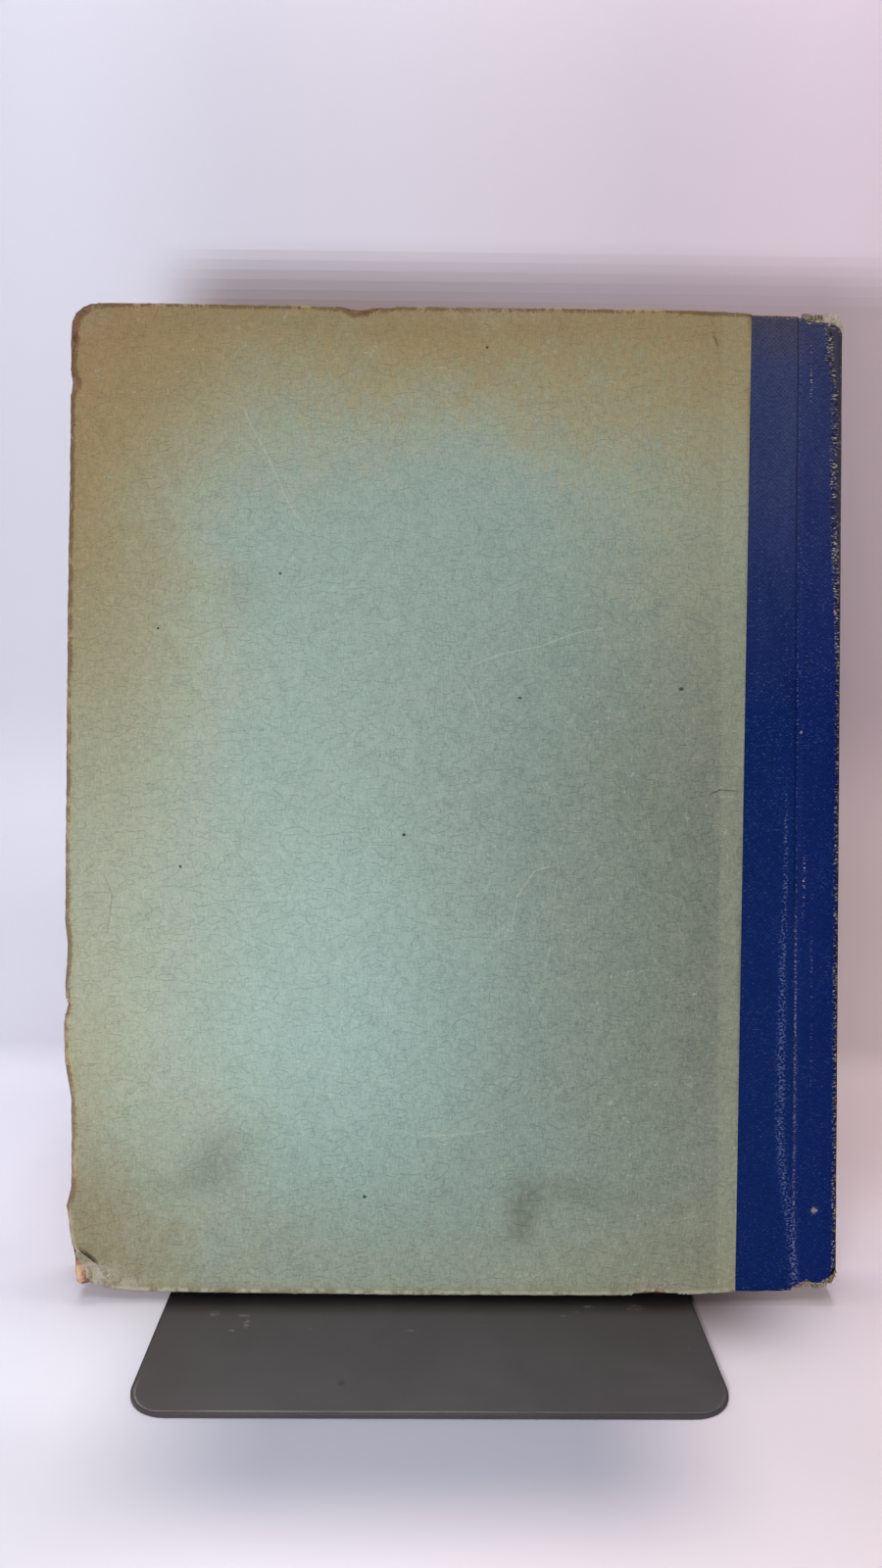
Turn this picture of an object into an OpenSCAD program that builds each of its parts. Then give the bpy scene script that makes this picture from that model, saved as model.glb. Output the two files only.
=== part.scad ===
// Hardback book, quarter bound in cloth, standing on a folded steel book support.
// Millimetres. The floor is z = 0, readers stand on the -Y side and the spine is on the +X side.

/* [Book] */
// Height of the boards
board_h = 264; // [180:1:340]
// Width of the closed book, from fore edge to spine
book_w = 208; // [150:1:280]
// Distance that the boards stand out beyond the leaves
square = 3; // [2:0.5:5]
// Angle that the book leans back from upright
lean = 6; // [2:0.5:12]

/* [Boards and covering] */
// Thickness of each board
board_t = 2.2; // [1.6:0.1:3.4]
// Radius of the fore-edge corners
corner_r = 2.5; // [1:0.5:8]
// Thickness of the cover paper
paper_t = 0.2; // [0.12:0.02:0.3]
// Thickness of the book cloth
cloth_t = 0.45; // [0.3:0.05:0.6]
// Width of cloth that shows on each board
cloth_on_board = 14; // [8:1:30]
// Distance that the paper laps over the cloth
paper_lap = 2; // [1:0.5:4]
// Width of the turned-in covering inside the boards
turn_in = 15; // [10:1:20]
// Thickness of a pastedown or a flyleaf
endpaper_t = 0.2; // [0.12:0.02:0.3]

/* [Text block] */
// Number of sewn sections
sections = 10; // [6:1:14]
// Thickness of one section
section_t = 1.5; // [1:0.1:2.4]
// Leaves in one section
leaves_per_section = 8; // [8:2:16]
// Leaves that turn together as one group
turned_leaves = 3; // [2:1:3]
// Air between papers that part when the book opens
leaf_air = 0.05; // [0.03:0.01:0.1]

/* [Spine] */
// Distance from the spine's outer face to the joint crease
joint_inset = 12; // [10:0.5:18]
// Outer radius of the spine's shoulders
shoulder_r = 4; // [2:0.5:6]
// Distance that the spine cloth stops short of the boards at head and tail
spine_inset = 1; // [0.5:0.5:3]
// Thickness of the paper inlay behind the spine cloth
inlay_t = 0.7; // [0.4:0.1:1]
// Hollow between the inlay and the lining
hollow = 0.3; // [0.2:0.1:0.8]
// Thickness of the paper lining glued over the gauze
lining_t = 0.3; // [0.2:0.05:0.5]
// Thickness of the gauze
mull_t = 0.25; // [0.15:0.05:0.4]
// Width of the gauze on each board
mull_flange = 25; // [15:1:40]
// Diameter of the sewing thread
thread_d = 0.4; // [0.3:0.05:0.6]
// Thickness of the sewing tapes
tape_t = 0.35; // [0.2:0.05:0.5]
// Width of the sewing tapes
tape_w = 13; // [8:1:18]
// Number of sewing tapes
tapes = 3; // [2:1:5]

/* [Book support] */
// Width of the support
support_w = 140; // [100:1:180]
// Depth of the foot, upright included
foot_d = 85; // [75:1:120]
// Height of the upright
support_h = 140; // [100:1:170]
// Thickness of the steel sheet
sheet_t = 1.1; // [0.8:0.1:2]
// Inside radius of the fold
fold_r = 1.5; // [1:0.5:3]
// Radius of the foot's front corners
foot_corner_r = 10; // [3:1:20]
// Radius of the upright's top corners
top_corner_r = 10; // [3:1:20]
// Sideways place of the support, from the middle of the book
support_x = -5.5; // [-30:0.5:30]
// Clearance between the book and the upright's top edge
rest_gap = 0.05; // [0.02:0.01:0.2]

/* [Hidden] */
$fn = 64;
// Space left in front of each joint's rolled cloth edge
joint_clear = 0.25;
// Gap between a board's spine edge and the joint crease
edge_gap = 0.3;
// Gap between the turning leaves and the joint crease
leaf_end_gap = 1.5;
// Gap between the turning leaves and the sewn folds
fold_clear = 0.1;
// Start of the gauze and tapes beyond the joint crease
flange_start = 1;
// Distance of the gauze from the turn-ins at head and tail
mull_margin = 2;
// Distance of the lining and the kettle stitches from the ends of the leaves
lining_margin = 4;
kettle_margin = 12;
// A cut that passes a face by this much
cut = 1;

// Depths run from a cover's outer face towards the leaves.
cover_t = paper_t + board_t;
flyleaf_depth = cover_t + endpaper_t + leaf_air;
block_depth = flyleaf_depth + endpaper_t + leaf_air;
book_t = 2 * block_depth + sections * section_t;
leaf_t = section_t / leaves_per_section;
turned_t = turned_leaves * leaf_t;

// Places across the book, with x = 0 at its middle.
fore_x = -book_w / 2;
spine_x = book_w / 2;
joint_x = spine_x - joint_inset;
board_x = joint_x - edge_gap;
paper_x = joint_x - cloth_on_board;
lap_x = paper_x - paper_lap;
inlay_x = spine_x - cloth_t;
lining_x = inlay_x - inlay_t - hollow;
mull_x = lining_x - lining_t;
thread_x = mull_x - mull_t;
tape_x = thread_x - thread_d;
fold_x = tape_x - tape_t;
leaf_end_x = joint_x - leaf_end_gap;
mull_start = joint_x + flange_start;

// Depth of the joint's axis: the middle of the cloth.
axis_depth = paper_t + cloth_t / 2;

// Place of the standing book. The support's front edge is at y = 0 before centring.
upright_y = foot_d - sheet_t;
lean_y = upright_y - (support_h - sheet_t) * tan(lean) - rest_gap;
back_y = max(foot_d, lean_y + board_h * sin(lean));
centre_y = back_y / 2;

function section_name(i) = str("section_", i < 10 ? "0" : "", i);

SECTION_NODES = [for (i = [1:sections]) section_name(i)];

// ---- frames and helpers ----

// The book's own frame: x across, -y towards the reader, z up the boards, leaning back by `lean`.
module book() {
  translate([0, lean_y - centre_y, sheet_t])
    rotate([-lean, 0, 0])
      children();
}

// Turns a piece of the front cover into the same piece of the back cover.
module to_back() {
  translate([0, -book_t, 0])
    mirror([0, 1, 0])
      children();
}

// A flat sheet of a cover, from a depth below its outer face.
module sheet(depth, t) {
  translate([0, -depth, 0])
    rotate([90, 0, 0])
      linear_extrude(t)
        children();
}

// Outline with two rounded corners on the fore-edge side.
module leaf_outline(x0, x1, z0, z1, r) {
  translate([x0 + r, z0]) square([x1 - x0 - r, z1 - z0]);
  translate([x0, z0 + r]) square([r + 0.01, z1 - z0 - 2 * r]);
  translate([x0 + r, z0 + r]) circle(r);
  translate([x0 + r, z1 - r]) circle(r);
}

module rect(x0, x1, z0, z1) {
  translate([x0, z0]) square([x1 - x0, z1 - z0]);
}

// A prism along the spine, from a plan view in x and y.
module along_spine(z0, z1) {
  translate([0, 0, z0]) linear_extrude(z1 - z0) children();
}

// Plan view of the spine's rounded outside, inset by `inset`.
module spine_plan(inset) {
  r = shoulder_r - inset;
  x1 = spine_x - inset;
  y1 = -paper_t - inset;
  y0 = -book_t + paper_t + inset;
  translate([joint_x, y0]) square([x1 - r - joint_x, y1 - y0]);
  translate([x1 - r - 0.01, y0 + r]) square([r + 0.01, y1 - y0 - 2 * r]);
  translate([x1 - r, y0 + r]) circle(r);
  translate([x1 - r, y1 - r]) circle(r);
}

// ---- pieces of a cover, drawn as the front cover ----

module cover_board() {
  cloth_depth = paper_t + cloth_t;
  difference() {
    union() {
      sheet(paper_t, board_t - paper_t)
        leaf_outline(fore_x + paper_t, lap_x, paper_t, board_h - paper_t, corner_r - paper_t);
      sheet(cover_t - paper_t, paper_t)
        rect(fore_x + turn_in, lap_x, turn_in, board_h - turn_in);
      sheet(cloth_depth, cover_t - paper_t - cloth_t - cloth_depth)
        rect(lap_x, board_x, cloth_depth, board_h - cloth_depth);
      sheet(cover_t - cloth_depth, cloth_depth)
        rect(lap_x, board_x, turn_in, board_h - turn_in);
    }
    sheet(cover_t - mull_t, mull_t + cut)
      rect(board_x - mull_flange, board_x + cut, turn_in + mull_margin, board_h - turn_in - mull_margin);
  }
}

module cover_paper() {
  difference() {
    sheet(0, cover_t)
      leaf_outline(fore_x, paper_x, 0, board_h, corner_r);
    sheet(paper_t, board_t - paper_t)
      leaf_outline(fore_x + paper_t, paper_x + cut, paper_t, board_h - paper_t, corner_r - paper_t);
    sheet(cover_t - paper_t, paper_t + cut)
      rect(fore_x + turn_in, paper_x + cut, turn_in, board_h - turn_in);
  }
}

module cover_cloth() {
  inner_depth = cover_t - paper_t;
  difference() {
    union() {
      sheet(paper_t, inner_depth - paper_t)
        rect(lap_x, board_x, paper_t, board_h - paper_t);
      sheet(paper_t, cloth_t)
        rect(board_x, joint_x, paper_t, board_h - paper_t);
    }
    sheet(paper_t + cloth_t, inner_depth - paper_t - 2 * cloth_t)
      rect(lap_x - cut, board_x + cut, paper_t + cloth_t, board_h - paper_t - cloth_t);
    sheet(inner_depth - cloth_t, cloth_t + cut)
      rect(lap_x - cut, board_x + cut, turn_in, board_h - turn_in);
  }
  translate([joint_x, -axis_depth, 0])
    along_spine(paper_t, board_h - paper_t)
      circle(cloth_t / 2);
}

module cover_gauze() {
  sheet(cover_t - mull_t, mull_t)
    rect(board_x - mull_flange, board_x, turn_in + mull_margin, board_h - turn_in - mull_margin);
}

module pastedown() {
  sheet(cover_t, endpaper_t)
    rect(fore_x + square, board_x, square, board_h - square);
}

module flyleaf() {
  sheet(flyleaf_depth, endpaper_t)
    rect(fore_x + square, leaf_end_x, square, board_h - square);
}

// A group of leaves that turns, the given number of groups in from the text block's face.
module turning_leaves(group) {
  sheet(block_depth + group * turned_t, turned_t - leaf_air)
    rect(fore_x + square, leaf_end_x, square, board_h - square);
}

// ---- pieces of the text block ----

// A sewn section with a rounded fold. `front_t` and `back_t` make room for leaves that turn.
module section(i, front_t, back_t) {
  near = block_depth + (i - 1) * section_t;
  round_x = fold_x - section_t / 2;
  notch_w = leaf_end_x + fold_clear - fore_x;
  along_spine(square, board_h - square)
    difference() {
      union() {
        translate([fore_x + square, -near - section_t])
          square([round_x - fore_x - square, section_t]);
        translate([round_x, -near - section_t / 2])
          circle(section_t / 2);
      }
      if (front_t > 0)
        translate([fore_x, -near - front_t])
          square([notch_w, front_t + cut]);
      if (back_t > 0)
        translate([fore_x, -near - section_t - cut])
          square([notch_w, back_t + cut]);
    }
}

// A band folded round the spine: gauze or tape, with its outer face at `x1` and `depth` from the covers.
module spine_band(x1, depth, t, z0, z1) {
  along_spine(z0, z1)
    difference() {
      translate([mull_start, -book_t + depth])
        square([x1 - mull_start, book_t - 2 * depth]);
      translate([mull_start - cut, -book_t + depth + t])
        square([x1 - t - mull_start + cut, book_t - 2 * (depth + t)]);
    }
}

function tape_z(k) = board_h * k / (tapes + 1);

module tapes_all() {
  for (k = [1:tapes])
    spine_band(tape_x, block_depth - tape_t, tape_t, tape_z(k) - tape_w / 2, tape_z(k) + tape_w / 2);
}

// Short stitches over each tape, and one kettle stitch near the head and near the tail.
module thread_all() {
  for (k = [1:tapes], i = [1:sections])
    translate([tape_x + thread_d / 2, -block_depth - (i - 0.5) * section_t, 0])
      along_spine(tape_z(k) - tape_w / 2, tape_z(k) + tape_w / 2)
        circle(thread_d / 2);
  for (z = [square + kettle_margin, board_h - square - kettle_margin])
    translate([fold_x + thread_d / 2, -block_depth - section_t / 2, z])
      rotate([90, 0, 0])
        cylinder(h = (sections - 1) * section_t, r = thread_d / 2);
}

module lining() {
  along_spine(square + lining_margin, board_h - square - lining_margin)
    translate([mull_x, -book_t + block_depth])
      square([lining_t, book_t - 2 * block_depth]);
}

module inlay() {
  flat = paper_t + shoulder_r;
  along_spine(spine_inset, board_h - spine_inset)
    translate([inlay_x - inlay_t, -book_t + flat])
      square([inlay_t, book_t - 2 * flat]);
}

module cloth_over_spine() {
  along_spine(spine_inset, board_h - spine_inset)
    difference() {
      spine_plan(0);
      translate([-cut, 0]) spine_plan(cloth_t);
      spine_plan(cloth_t);
      for (y = [-axis_depth, axis_depth - book_t])
        translate([joint_x, y])
          circle(cloth_t / 2 + joint_clear);
    }
}

// ---- the book support: a foot, a fold and an upright in one sheet ----

module support() {
  bend = fold_r + sheet_t;
  half = support_w / 2;
  translate([support_x, -centre_y, 0]) {
    linear_extrude(sheet_t) {
      translate([-half, foot_corner_r]) square([support_w, foot_d - bend - foot_corner_r]);
      translate([foot_corner_r - half, 0]) square([support_w - 2 * foot_corner_r, foot_corner_r + 0.01]);
      for (x = [foot_corner_r - half, half - foot_corner_r])
        translate([x, foot_corner_r]) circle(foot_corner_r);
    }
    translate([-half, foot_d - bend, bend])
      rotate([90, 0, 90])
        linear_extrude(support_w)
          difference() {
            circle(bend);
            circle(fold_r);
            translate([-2 * bend, -2 * bend]) square([2 * bend, 4 * bend]);
            translate([-2 * bend, 0]) square([4 * bend, 2 * bend]);
          }
    translate([0, foot_d, 0])
      rotate([90, 0, 0])
        linear_extrude(sheet_t) {
          translate([-half, bend]) square([support_w, support_h - bend - top_corner_r]);
          translate([top_corner_r - half, support_h - top_corner_r - 0.01])
            square([support_w - 2 * top_corner_r, top_corner_r + 0.01]);
          for (x = [top_corner_r - half, half - top_corner_r])
            translate([x, support_h - top_corner_r]) circle(top_corner_r);
        }
  }
}

// ---- nodes ----

steel = [0.30, 0.29, 0.28];
green = [0.60, 0.67, 0.59];
blue = [0.10, 0.18, 0.40];
strawboard = [0.62, 0.47, 0.32];
cream = [0.87, 0.82, 0.70];
gauze = [0.85, 0.83, 0.76];
kraft = [0.62, 0.50, 0.36];

module book_support() { color(steel) support(); }

module front_board() { color(strawboard) book() cover_board(); }
module front_paper() { color(green) book() cover_paper(); }
module front_cloth() { color(blue) book() cover_cloth(); }
module front_gauze() { color(gauze) book() cover_gauze(); }
module front_pastedown() { color(cream) book() pastedown(); }
module front_flyleaf() { color(cream) book() flyleaf(); }
module front_leaves() { color(cream) book() turning_leaves(0); }

module sewn_section(i) {
  front_t = i == 1 ? turned_t : 0;
  back_t = i == sections ? 2 * turned_t : 0;
  color(cream) book() section(i, front_t, back_t);
}

module sewing_tapes() { color(gauze) book() tapes_all(); }
module sewing_thread() { color(cream) book() thread_all(); }
module spine_gauze() {
  depth = block_depth - tape_t - mull_t;
  margin = turn_in + mull_margin;
  color(gauze) book() spine_band(mull_x, depth, mull_t, margin, board_h - margin);
}
module spine_lining() { color(kraft) book() lining(); }
module spine_inlay() { color(kraft) book() inlay(); }
module spine_cloth() { color(blue) book() cloth_over_spine(); }

module back_leaves_inner() { color(cream) book() to_back() turning_leaves(1); }
module back_leaves_outer() { color(cream) book() to_back() turning_leaves(0); }
module back_flyleaf() { color(cream) book() to_back() flyleaf(); }
module back_board() { color(strawboard) book() to_back() cover_board(); }
module back_paper() { color(green) book() to_back() cover_paper(); }
module back_cloth() { color(blue) book() to_back() cover_cloth(); }
module back_gauze() { color(gauze) book() to_back() cover_gauze(); }
module back_pastedown() { color(cream) book() to_back() pastedown(); }

book_support();
front_board();
front_paper();
front_cloth();
front_gauze();
front_pastedown();
front_flyleaf();
front_leaves();
for (i = [1:sections]) {
  sewn_section(i);
}
sewing_tapes();
sewing_thread();
spine_gauze();
spine_lining();
spine_inlay();
spine_cloth();
back_leaves_inner();
back_leaves_outer();
back_flyleaf();
back_board();
back_paper();
back_cloth();
back_gauze();
back_pastedown();
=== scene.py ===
"""A quarter-bound hardback leaning on a folded steel book support.

Lengths are in millimetres until build() turns them into metres. A cover is drawn by x across the
book, z up the boards and c, the depth below its outer face.
"""

import math
import random

import bpy
import numpy as np
from mathutils import Matrix, Vector, noise
from mathutils.geometry import delaunay_2d_cdt


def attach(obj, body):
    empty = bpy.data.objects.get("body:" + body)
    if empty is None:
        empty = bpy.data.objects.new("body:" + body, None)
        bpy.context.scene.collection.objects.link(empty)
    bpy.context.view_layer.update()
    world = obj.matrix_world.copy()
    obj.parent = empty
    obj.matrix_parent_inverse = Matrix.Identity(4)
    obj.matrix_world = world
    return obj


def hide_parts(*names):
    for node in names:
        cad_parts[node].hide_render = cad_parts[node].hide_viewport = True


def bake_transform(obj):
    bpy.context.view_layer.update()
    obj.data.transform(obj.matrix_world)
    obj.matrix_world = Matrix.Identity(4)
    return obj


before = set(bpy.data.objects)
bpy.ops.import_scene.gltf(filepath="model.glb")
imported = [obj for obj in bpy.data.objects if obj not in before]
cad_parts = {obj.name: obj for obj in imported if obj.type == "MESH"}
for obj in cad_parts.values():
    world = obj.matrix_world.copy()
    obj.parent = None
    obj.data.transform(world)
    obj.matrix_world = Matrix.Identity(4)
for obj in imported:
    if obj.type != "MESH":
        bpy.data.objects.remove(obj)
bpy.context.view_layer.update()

MM = 0.001

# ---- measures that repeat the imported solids, in millimetres ----
BOARD_H = 264
FORE_X = -104
SPINE_X = 104
LEAF_X = -101
COVER_T = 2.4
PAPER_T = 0.2
CLOTH_T = 0.45
# how far the boards stand past the leaves
OVERHANG = 3
TURN_IN = 15
BOOK_T = 20.8
PASTEDOWN_C = 2.4
FLYLEAF_C = 2.65
BLOCK_C = 2.9
ENDPAPER_T = 0.2
SECTIONS = 10
SECTION_T = 1.5
LEAF_T = SECTION_T / 8
# how many leaves turn together
TURNED = 3
FOLD_X = 101.25
LEAN = math.radians(6)
BOOK_Y = 20.828
SHEET_T = 1.1
SUPPORT_X = -5.5
SUPPORT_W = 140
SUPPORT_H = 140
FOOT_FRONT = -48.423
FOOT_D = 85
FOLD_R = 1.5
CORNER_R = 10


# ---- camera ----


def add_to_scene(name, data, matrix=None):
    obj = bpy.data.objects.new(name, data)
    bpy.context.scene.collection.objects.link(obj)
    if matrix is not None:
        obj.matrix_world = matrix
    return obj


def add_camera():
    """The fitted viewpoint: a hand-held camera in front of the book, looking slightly down."""
    focal_px, photo_height_px, sensor = 1202, 1600, 32
    place = Vector((-6.79, -299.54, 169.95)) * MM
    pitch, yaw, roll = math.radians(5.756), math.radians(0.55), math.radians(0.534)
    data = bpy.data.cameras.new("camera")
    data.sensor_fit = "VERTICAL"
    data.sensor_height = sensor
    data.lens = sensor * focal_px / photo_height_px
    data.clip_start = 0.01
    turn = Matrix.Identity(4)
    for angle, axis in ((-yaw, "Z"), (math.pi / 2 - pitch, "X"), (roll, "Z")):
        turn = turn @ Matrix.Rotation(angle, 4, axis)
    bpy.context.scene.camera = add_to_scene("camera", data, Matrix.Translation(place) @ turn)


add_camera()


# ---- places ----


def front(x, c, z):
    """A point of the leaning book, from its depth behind the front cover's outer face."""
    y = BOOK_Y - c * math.cos(LEAN) + z * math.sin(LEAN)
    return (x, y, SHEET_T + c * math.sin(LEAN) + z * math.cos(LEAN))


def back(x, c, z):
    return front(x, BOOK_T - c, z)


def metres(point):
    return tuple(v * MM for v in point)


def lerp(a, b, t):
    return a + (b - a) * t


def ramp(value, low, high):
    """0 below low, 1 above high and smooth between them; high may be the smaller."""
    t = min(max((value - low) / (high - low), 0), 1)
    return t * t * (3 - 2 * t)


def wander(x, y=0, seed=0, size=1):
    """Smooth repeatable noise, about -0.6 to 0.6."""
    return noise.noise(Vector((x / size, y / size, seed)))


def along(points, x):
    """The height at x of a line through (x, height) points in order of x."""
    for (x0, y0), (x1, y1) in zip(points, points[1:]):
        if x <= x1:
            return lerp(y0, y1, min(max((x - x0) / (x1 - x0), 0), 1))
    return points[-1][1]


def quarter(steps, first, last):
    """The sine and cosine of some of the angles that cut a right angle into equal steps."""
    angles = [math.pi / 2 * k / steps for k in range(first, last + 1)]
    return [(math.sin(a), math.cos(a)) for a in angles]


# ---- mesh building ----


class Sheet:
    """Points in millimetres with a value in each named layer, and the faces between them."""

    def __init__(self):
        self.points = []
        self.faces = []
        self.layers = {}

    def add(self, point, **values):
        self.points.append(tuple(point))
        for key, value in values.items():
            self.layers.setdefault(key, []).append(value)

    def next(self, count):
        """The numbers of the points that are added next."""
        return list(range(len(self.points), len(self.points) + count))

    def bridge(self, rows, closed=False):
        """Joins each row of point numbers to the next one."""
        for low, high in zip(rows, rows[1:]):
            for k in range(len(low) if closed else len(low) - 1):
                n = (k + 1) % len(low)
                self.faces.append((low[k], high[k], high[n], low[n]))

    def grid(self, columns):
        """Joins all the points, which were added row by row."""
        for a in range(len(self.points) - columns):
            if (a + 1) % columns:
                self.faces.append((a, a + 1, a + columns + 1, a + columns))

    def weld(self):
        """Joins points in the same place and drops the faces that this closes up."""
        first = {}
        keep = []
        index = []
        for i, point in enumerate(self.points):
            key = tuple(round(v, 3) for v in point)
            if key not in first:
                first[key] = len(keep)
                keep.append(i)
            index.append(first[key])
        joined = []
        for face in self.faces:
            corners = [index[i] for i in face]
            corners = [v for k, v in enumerate(corners) if v != corners[k - 1]]
            if len(set(corners)) == len(corners) and len(corners) > 2:
                joined.append(tuple(corners))
        self.points = [self.points[i] for i in keep]
        self.faces = joined
        self.layers = {key: [values[i] for i in keep] for key, values in self.layers.items()}

    def normals(self):
        place = np.array(self.points)
        total = np.zeros_like(place)
        for face in self.faces:
            a, b, c = (place[i] for i in face[:3])
            n = np.cross(b - a, c - a)
            if len(face) == 4:
                n = n + np.cross(c - a, place[face[3]] - a)
            for i in face:
                total[i] += n
        return total / np.maximum(np.linalg.norm(total, axis=1, keepdims=True), 1e-12)

    def thicken(self, thick):
        """Gives the sheet its other face, `thick` below it, and a rim."""
        count = len(self.points)
        below = np.array(self.points) - self.normals() * thick
        used = {}
        for face in self.faces:
            for edge in zip(face, face[1:] + face[:1]):
                used[edge] = True
        rim = [(b, a, a + count, b + count) for a, b in used if (b, a) not in used]
        under = [tuple(i + count for i in reversed(face)) for face in self.faces]
        self.points += [tuple(p) for p in below]
        self.faces += under + rim
        self.layers = {key: values + values for key, values in self.layers.items()}

    def join(self, other):
        """Takes in the points, faces and layers of another sheet."""
        start = len(self.points)
        self.points += other.points
        self.faces += [tuple(i + start for i in face) for face in other.faces]
        for key, values in other.layers.items():
            self.layers.setdefault(key, []).extend(values)

    def build(self, name, flip=False, thick=0, sharp=40):
        """A mesh object in metres."""
        self.weld()
        if flip:
            self.faces = [tuple(reversed(face)) for face in self.faces]
        if thick:
            self.thicken(thick)
        mesh = bpy.data.meshes.new(name)
        mesh.from_pydata([metres(p) for p in self.points], [], self.faces)
        for key, values in self.layers.items():
            vector = hasattr(values[0], "__len__")
            layer = mesh.attributes.new(key, "FLOAT_VECTOR" if vector else "FLOAT", "POINT")
            flat = np.array(values, np.float32).ravel()
            layer.data.foreach_set("vector" if vector else "value", flat)
        mesh.shade_smooth()
        mesh.set_sharp_from_angle(angle=math.radians(sharp))
        return add_to_scene(name, mesh)


def finish_piece(obj, material, nodes=(), body=None):
    """Gives a piece its finish, hides the imported nodes it stands for and hangs it on the body it rides
    on.
    """
    set_material(obj, material)
    if nodes:
        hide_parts(*nodes)
    if body:
        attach(obj, body)


def resample(points, step, rough=0, seed=0):
    """Points about `step` apart along a line, pushed sideways by up to about `rough`."""
    out = []
    for (x0, y0), (x1, y1) in zip(points, points[1:]):
        length = math.hypot(x1 - x0, y1 - y0)
        count = max(1, round(length / step))
        for k in range(count):
            x, y = lerp(x0, x1, k / count), lerp(y0, y1, k / count)
            push = rough * (wander(x, y, seed, 0.9) + 0.8 * wander(x, y, seed + 5, 2.7))
            out.append((x + push * (y1 - y0) / length, y - push * (x1 - x0) / length))
    out.append(points[-1])
    return out


def offset(points, closed, by):
    """Each point moved outwards from a loop that runs anticlockwise, with smoothed normals."""
    out = []
    last = len(points) - 1
    for k, (x, y) in enumerate(points):
        before = points[k - 1] if closed or k else points[0]
        after = points[(k + 1) % len(points)] if closed or k < last else points[last]
        dx, dy = after[0] - before[0], after[1] - before[1]
        length = math.hypot(dx, dy) or 1
        out.append((x + by * dy / length, y - by * dx / length))
    return out


def inside(points, loop):
    """Whether each point is inside a loop, by counting the edges to its right."""
    x, y = np.array(points, float).T
    result = np.zeros(len(x), bool)
    for (x0, y0), (x1, y1) in zip(loop, loop[1:] + loop[:1]):
        if y0 != y1:
            crosses = ((y0 > y) != (y1 > y)) & (x < (x1 - x0) * (y - y0) / (y1 - y0) + x0)
            result ^= crosses
    return result


def nearest(points, targets):
    """Distance from each point to the nearest target."""
    a = np.array(points)[:, None, :]
    b = np.array(targets)
    return np.array([np.sqrt(((row - b) ** 2).sum(1)).min() for row in a])


def triangulate(loop, spacing, strokes=()):
    """Triangles inside a loop, with points about `spacing` apart and a ridge along each stroke.

    A stroke is (points, half_width, value). Returns the points, the triangles, the value on each
    point, and where each point of the loop went.
    """
    points = list(loop)
    values = [0] * len(loop)
    links = []
    for line, half, value in strokes:
        line = resample(line, 0.8, 0.12, len(line))
        start = len(points)
        for k, (x, y) in enumerate(line):
            x0, y0 = line[max(k - 1, 0)]
            x1, y1 = line[min(k + 1, len(line) - 1)]
            length = math.hypot(x1 - x0, y1 - y0)
            nx, ny = (y1 - y0) / length * half, (x0 - x1) / length * half
            points += [(x, y), (x + nx, y + ny), (x - nx, y - ny)]
            values += [value * min(min(k, len(line) - 1 - k) / 3, 1), 0, 0]
            if k:
                links.append((start + 3 * k - 3, start + 3 * k))
    busy = np.array(points)
    x0, y0 = busy.min(0)
    x1, y1 = busy.max(0)
    rows = int((y1 - y0) / (spacing * 0.866))
    fill = []
    for i in range(1, rows):
        for j in range(int((x1 - x0) / spacing) + 1):
            x = x0 + (j + 0.5 * (i % 2)) * spacing + 0.3 * wander(i, j, 3)
            fill.append((x, y0 + i * spacing * 0.866 + 0.3 * wander(j, i, 8)))
    free = (nearest(fill, busy) > spacing * 0.45) & inside(fill, loop)
    points += [p for p, ok in zip(fill, free) if ok]
    values += [0] * int(free.sum())
    verts, _, faces, origin, _, _ = delaunay_2d_cdt(
        [Vector(p) for p in points], links, [list(range(len(loop)))], 1, 1e-6
    )
    went = {}
    out = []
    for i, sources in enumerate(origin):
        out.append(max((values[s] for s in sources), key=abs) if sources else 0)
        for s in sources:
            went[s] = i
    flat = [(v.x, v.y) for v in verts]
    return flat, [tuple(f) for f in faces], out, [went[i] for i in range(len(loop))]


# ---- procedural materials ----


def srgb(r, g, b):
    """A screen colour of 0 to 255 as Blender's linear colour."""
    return tuple(
        v / 255 / 12.92 if v <= 10 else ((v / 255 + 0.055) / 1.055) ** 2.4 for v in (r, g, b)
    ) + (1,)


class Value:
    """A number in a node tree. Arithmetic on it adds Math nodes."""

    def __init__(self, shade, socket):
        self.shade = shade
        self.socket = socket

    def __add__(self, other):
        return self.shade.math("ADD", self, other)

    def __sub__(self, other):
        return self.shade.math("SUBTRACT", self, other)

    def __rsub__(self, other):
        return self.shade.math("SUBTRACT", other, self)

    def __mul__(self, other):
        return self.shade.math("MULTIPLY", self, other)

    def __truediv__(self, other):
        return self.shade.math("DIVIDE", self, other)

    def __abs__(self):
        return self.shade.math("ABSOLUTE", self)

    __radd__ = __add__
    __rmul__ = __mul__


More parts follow.
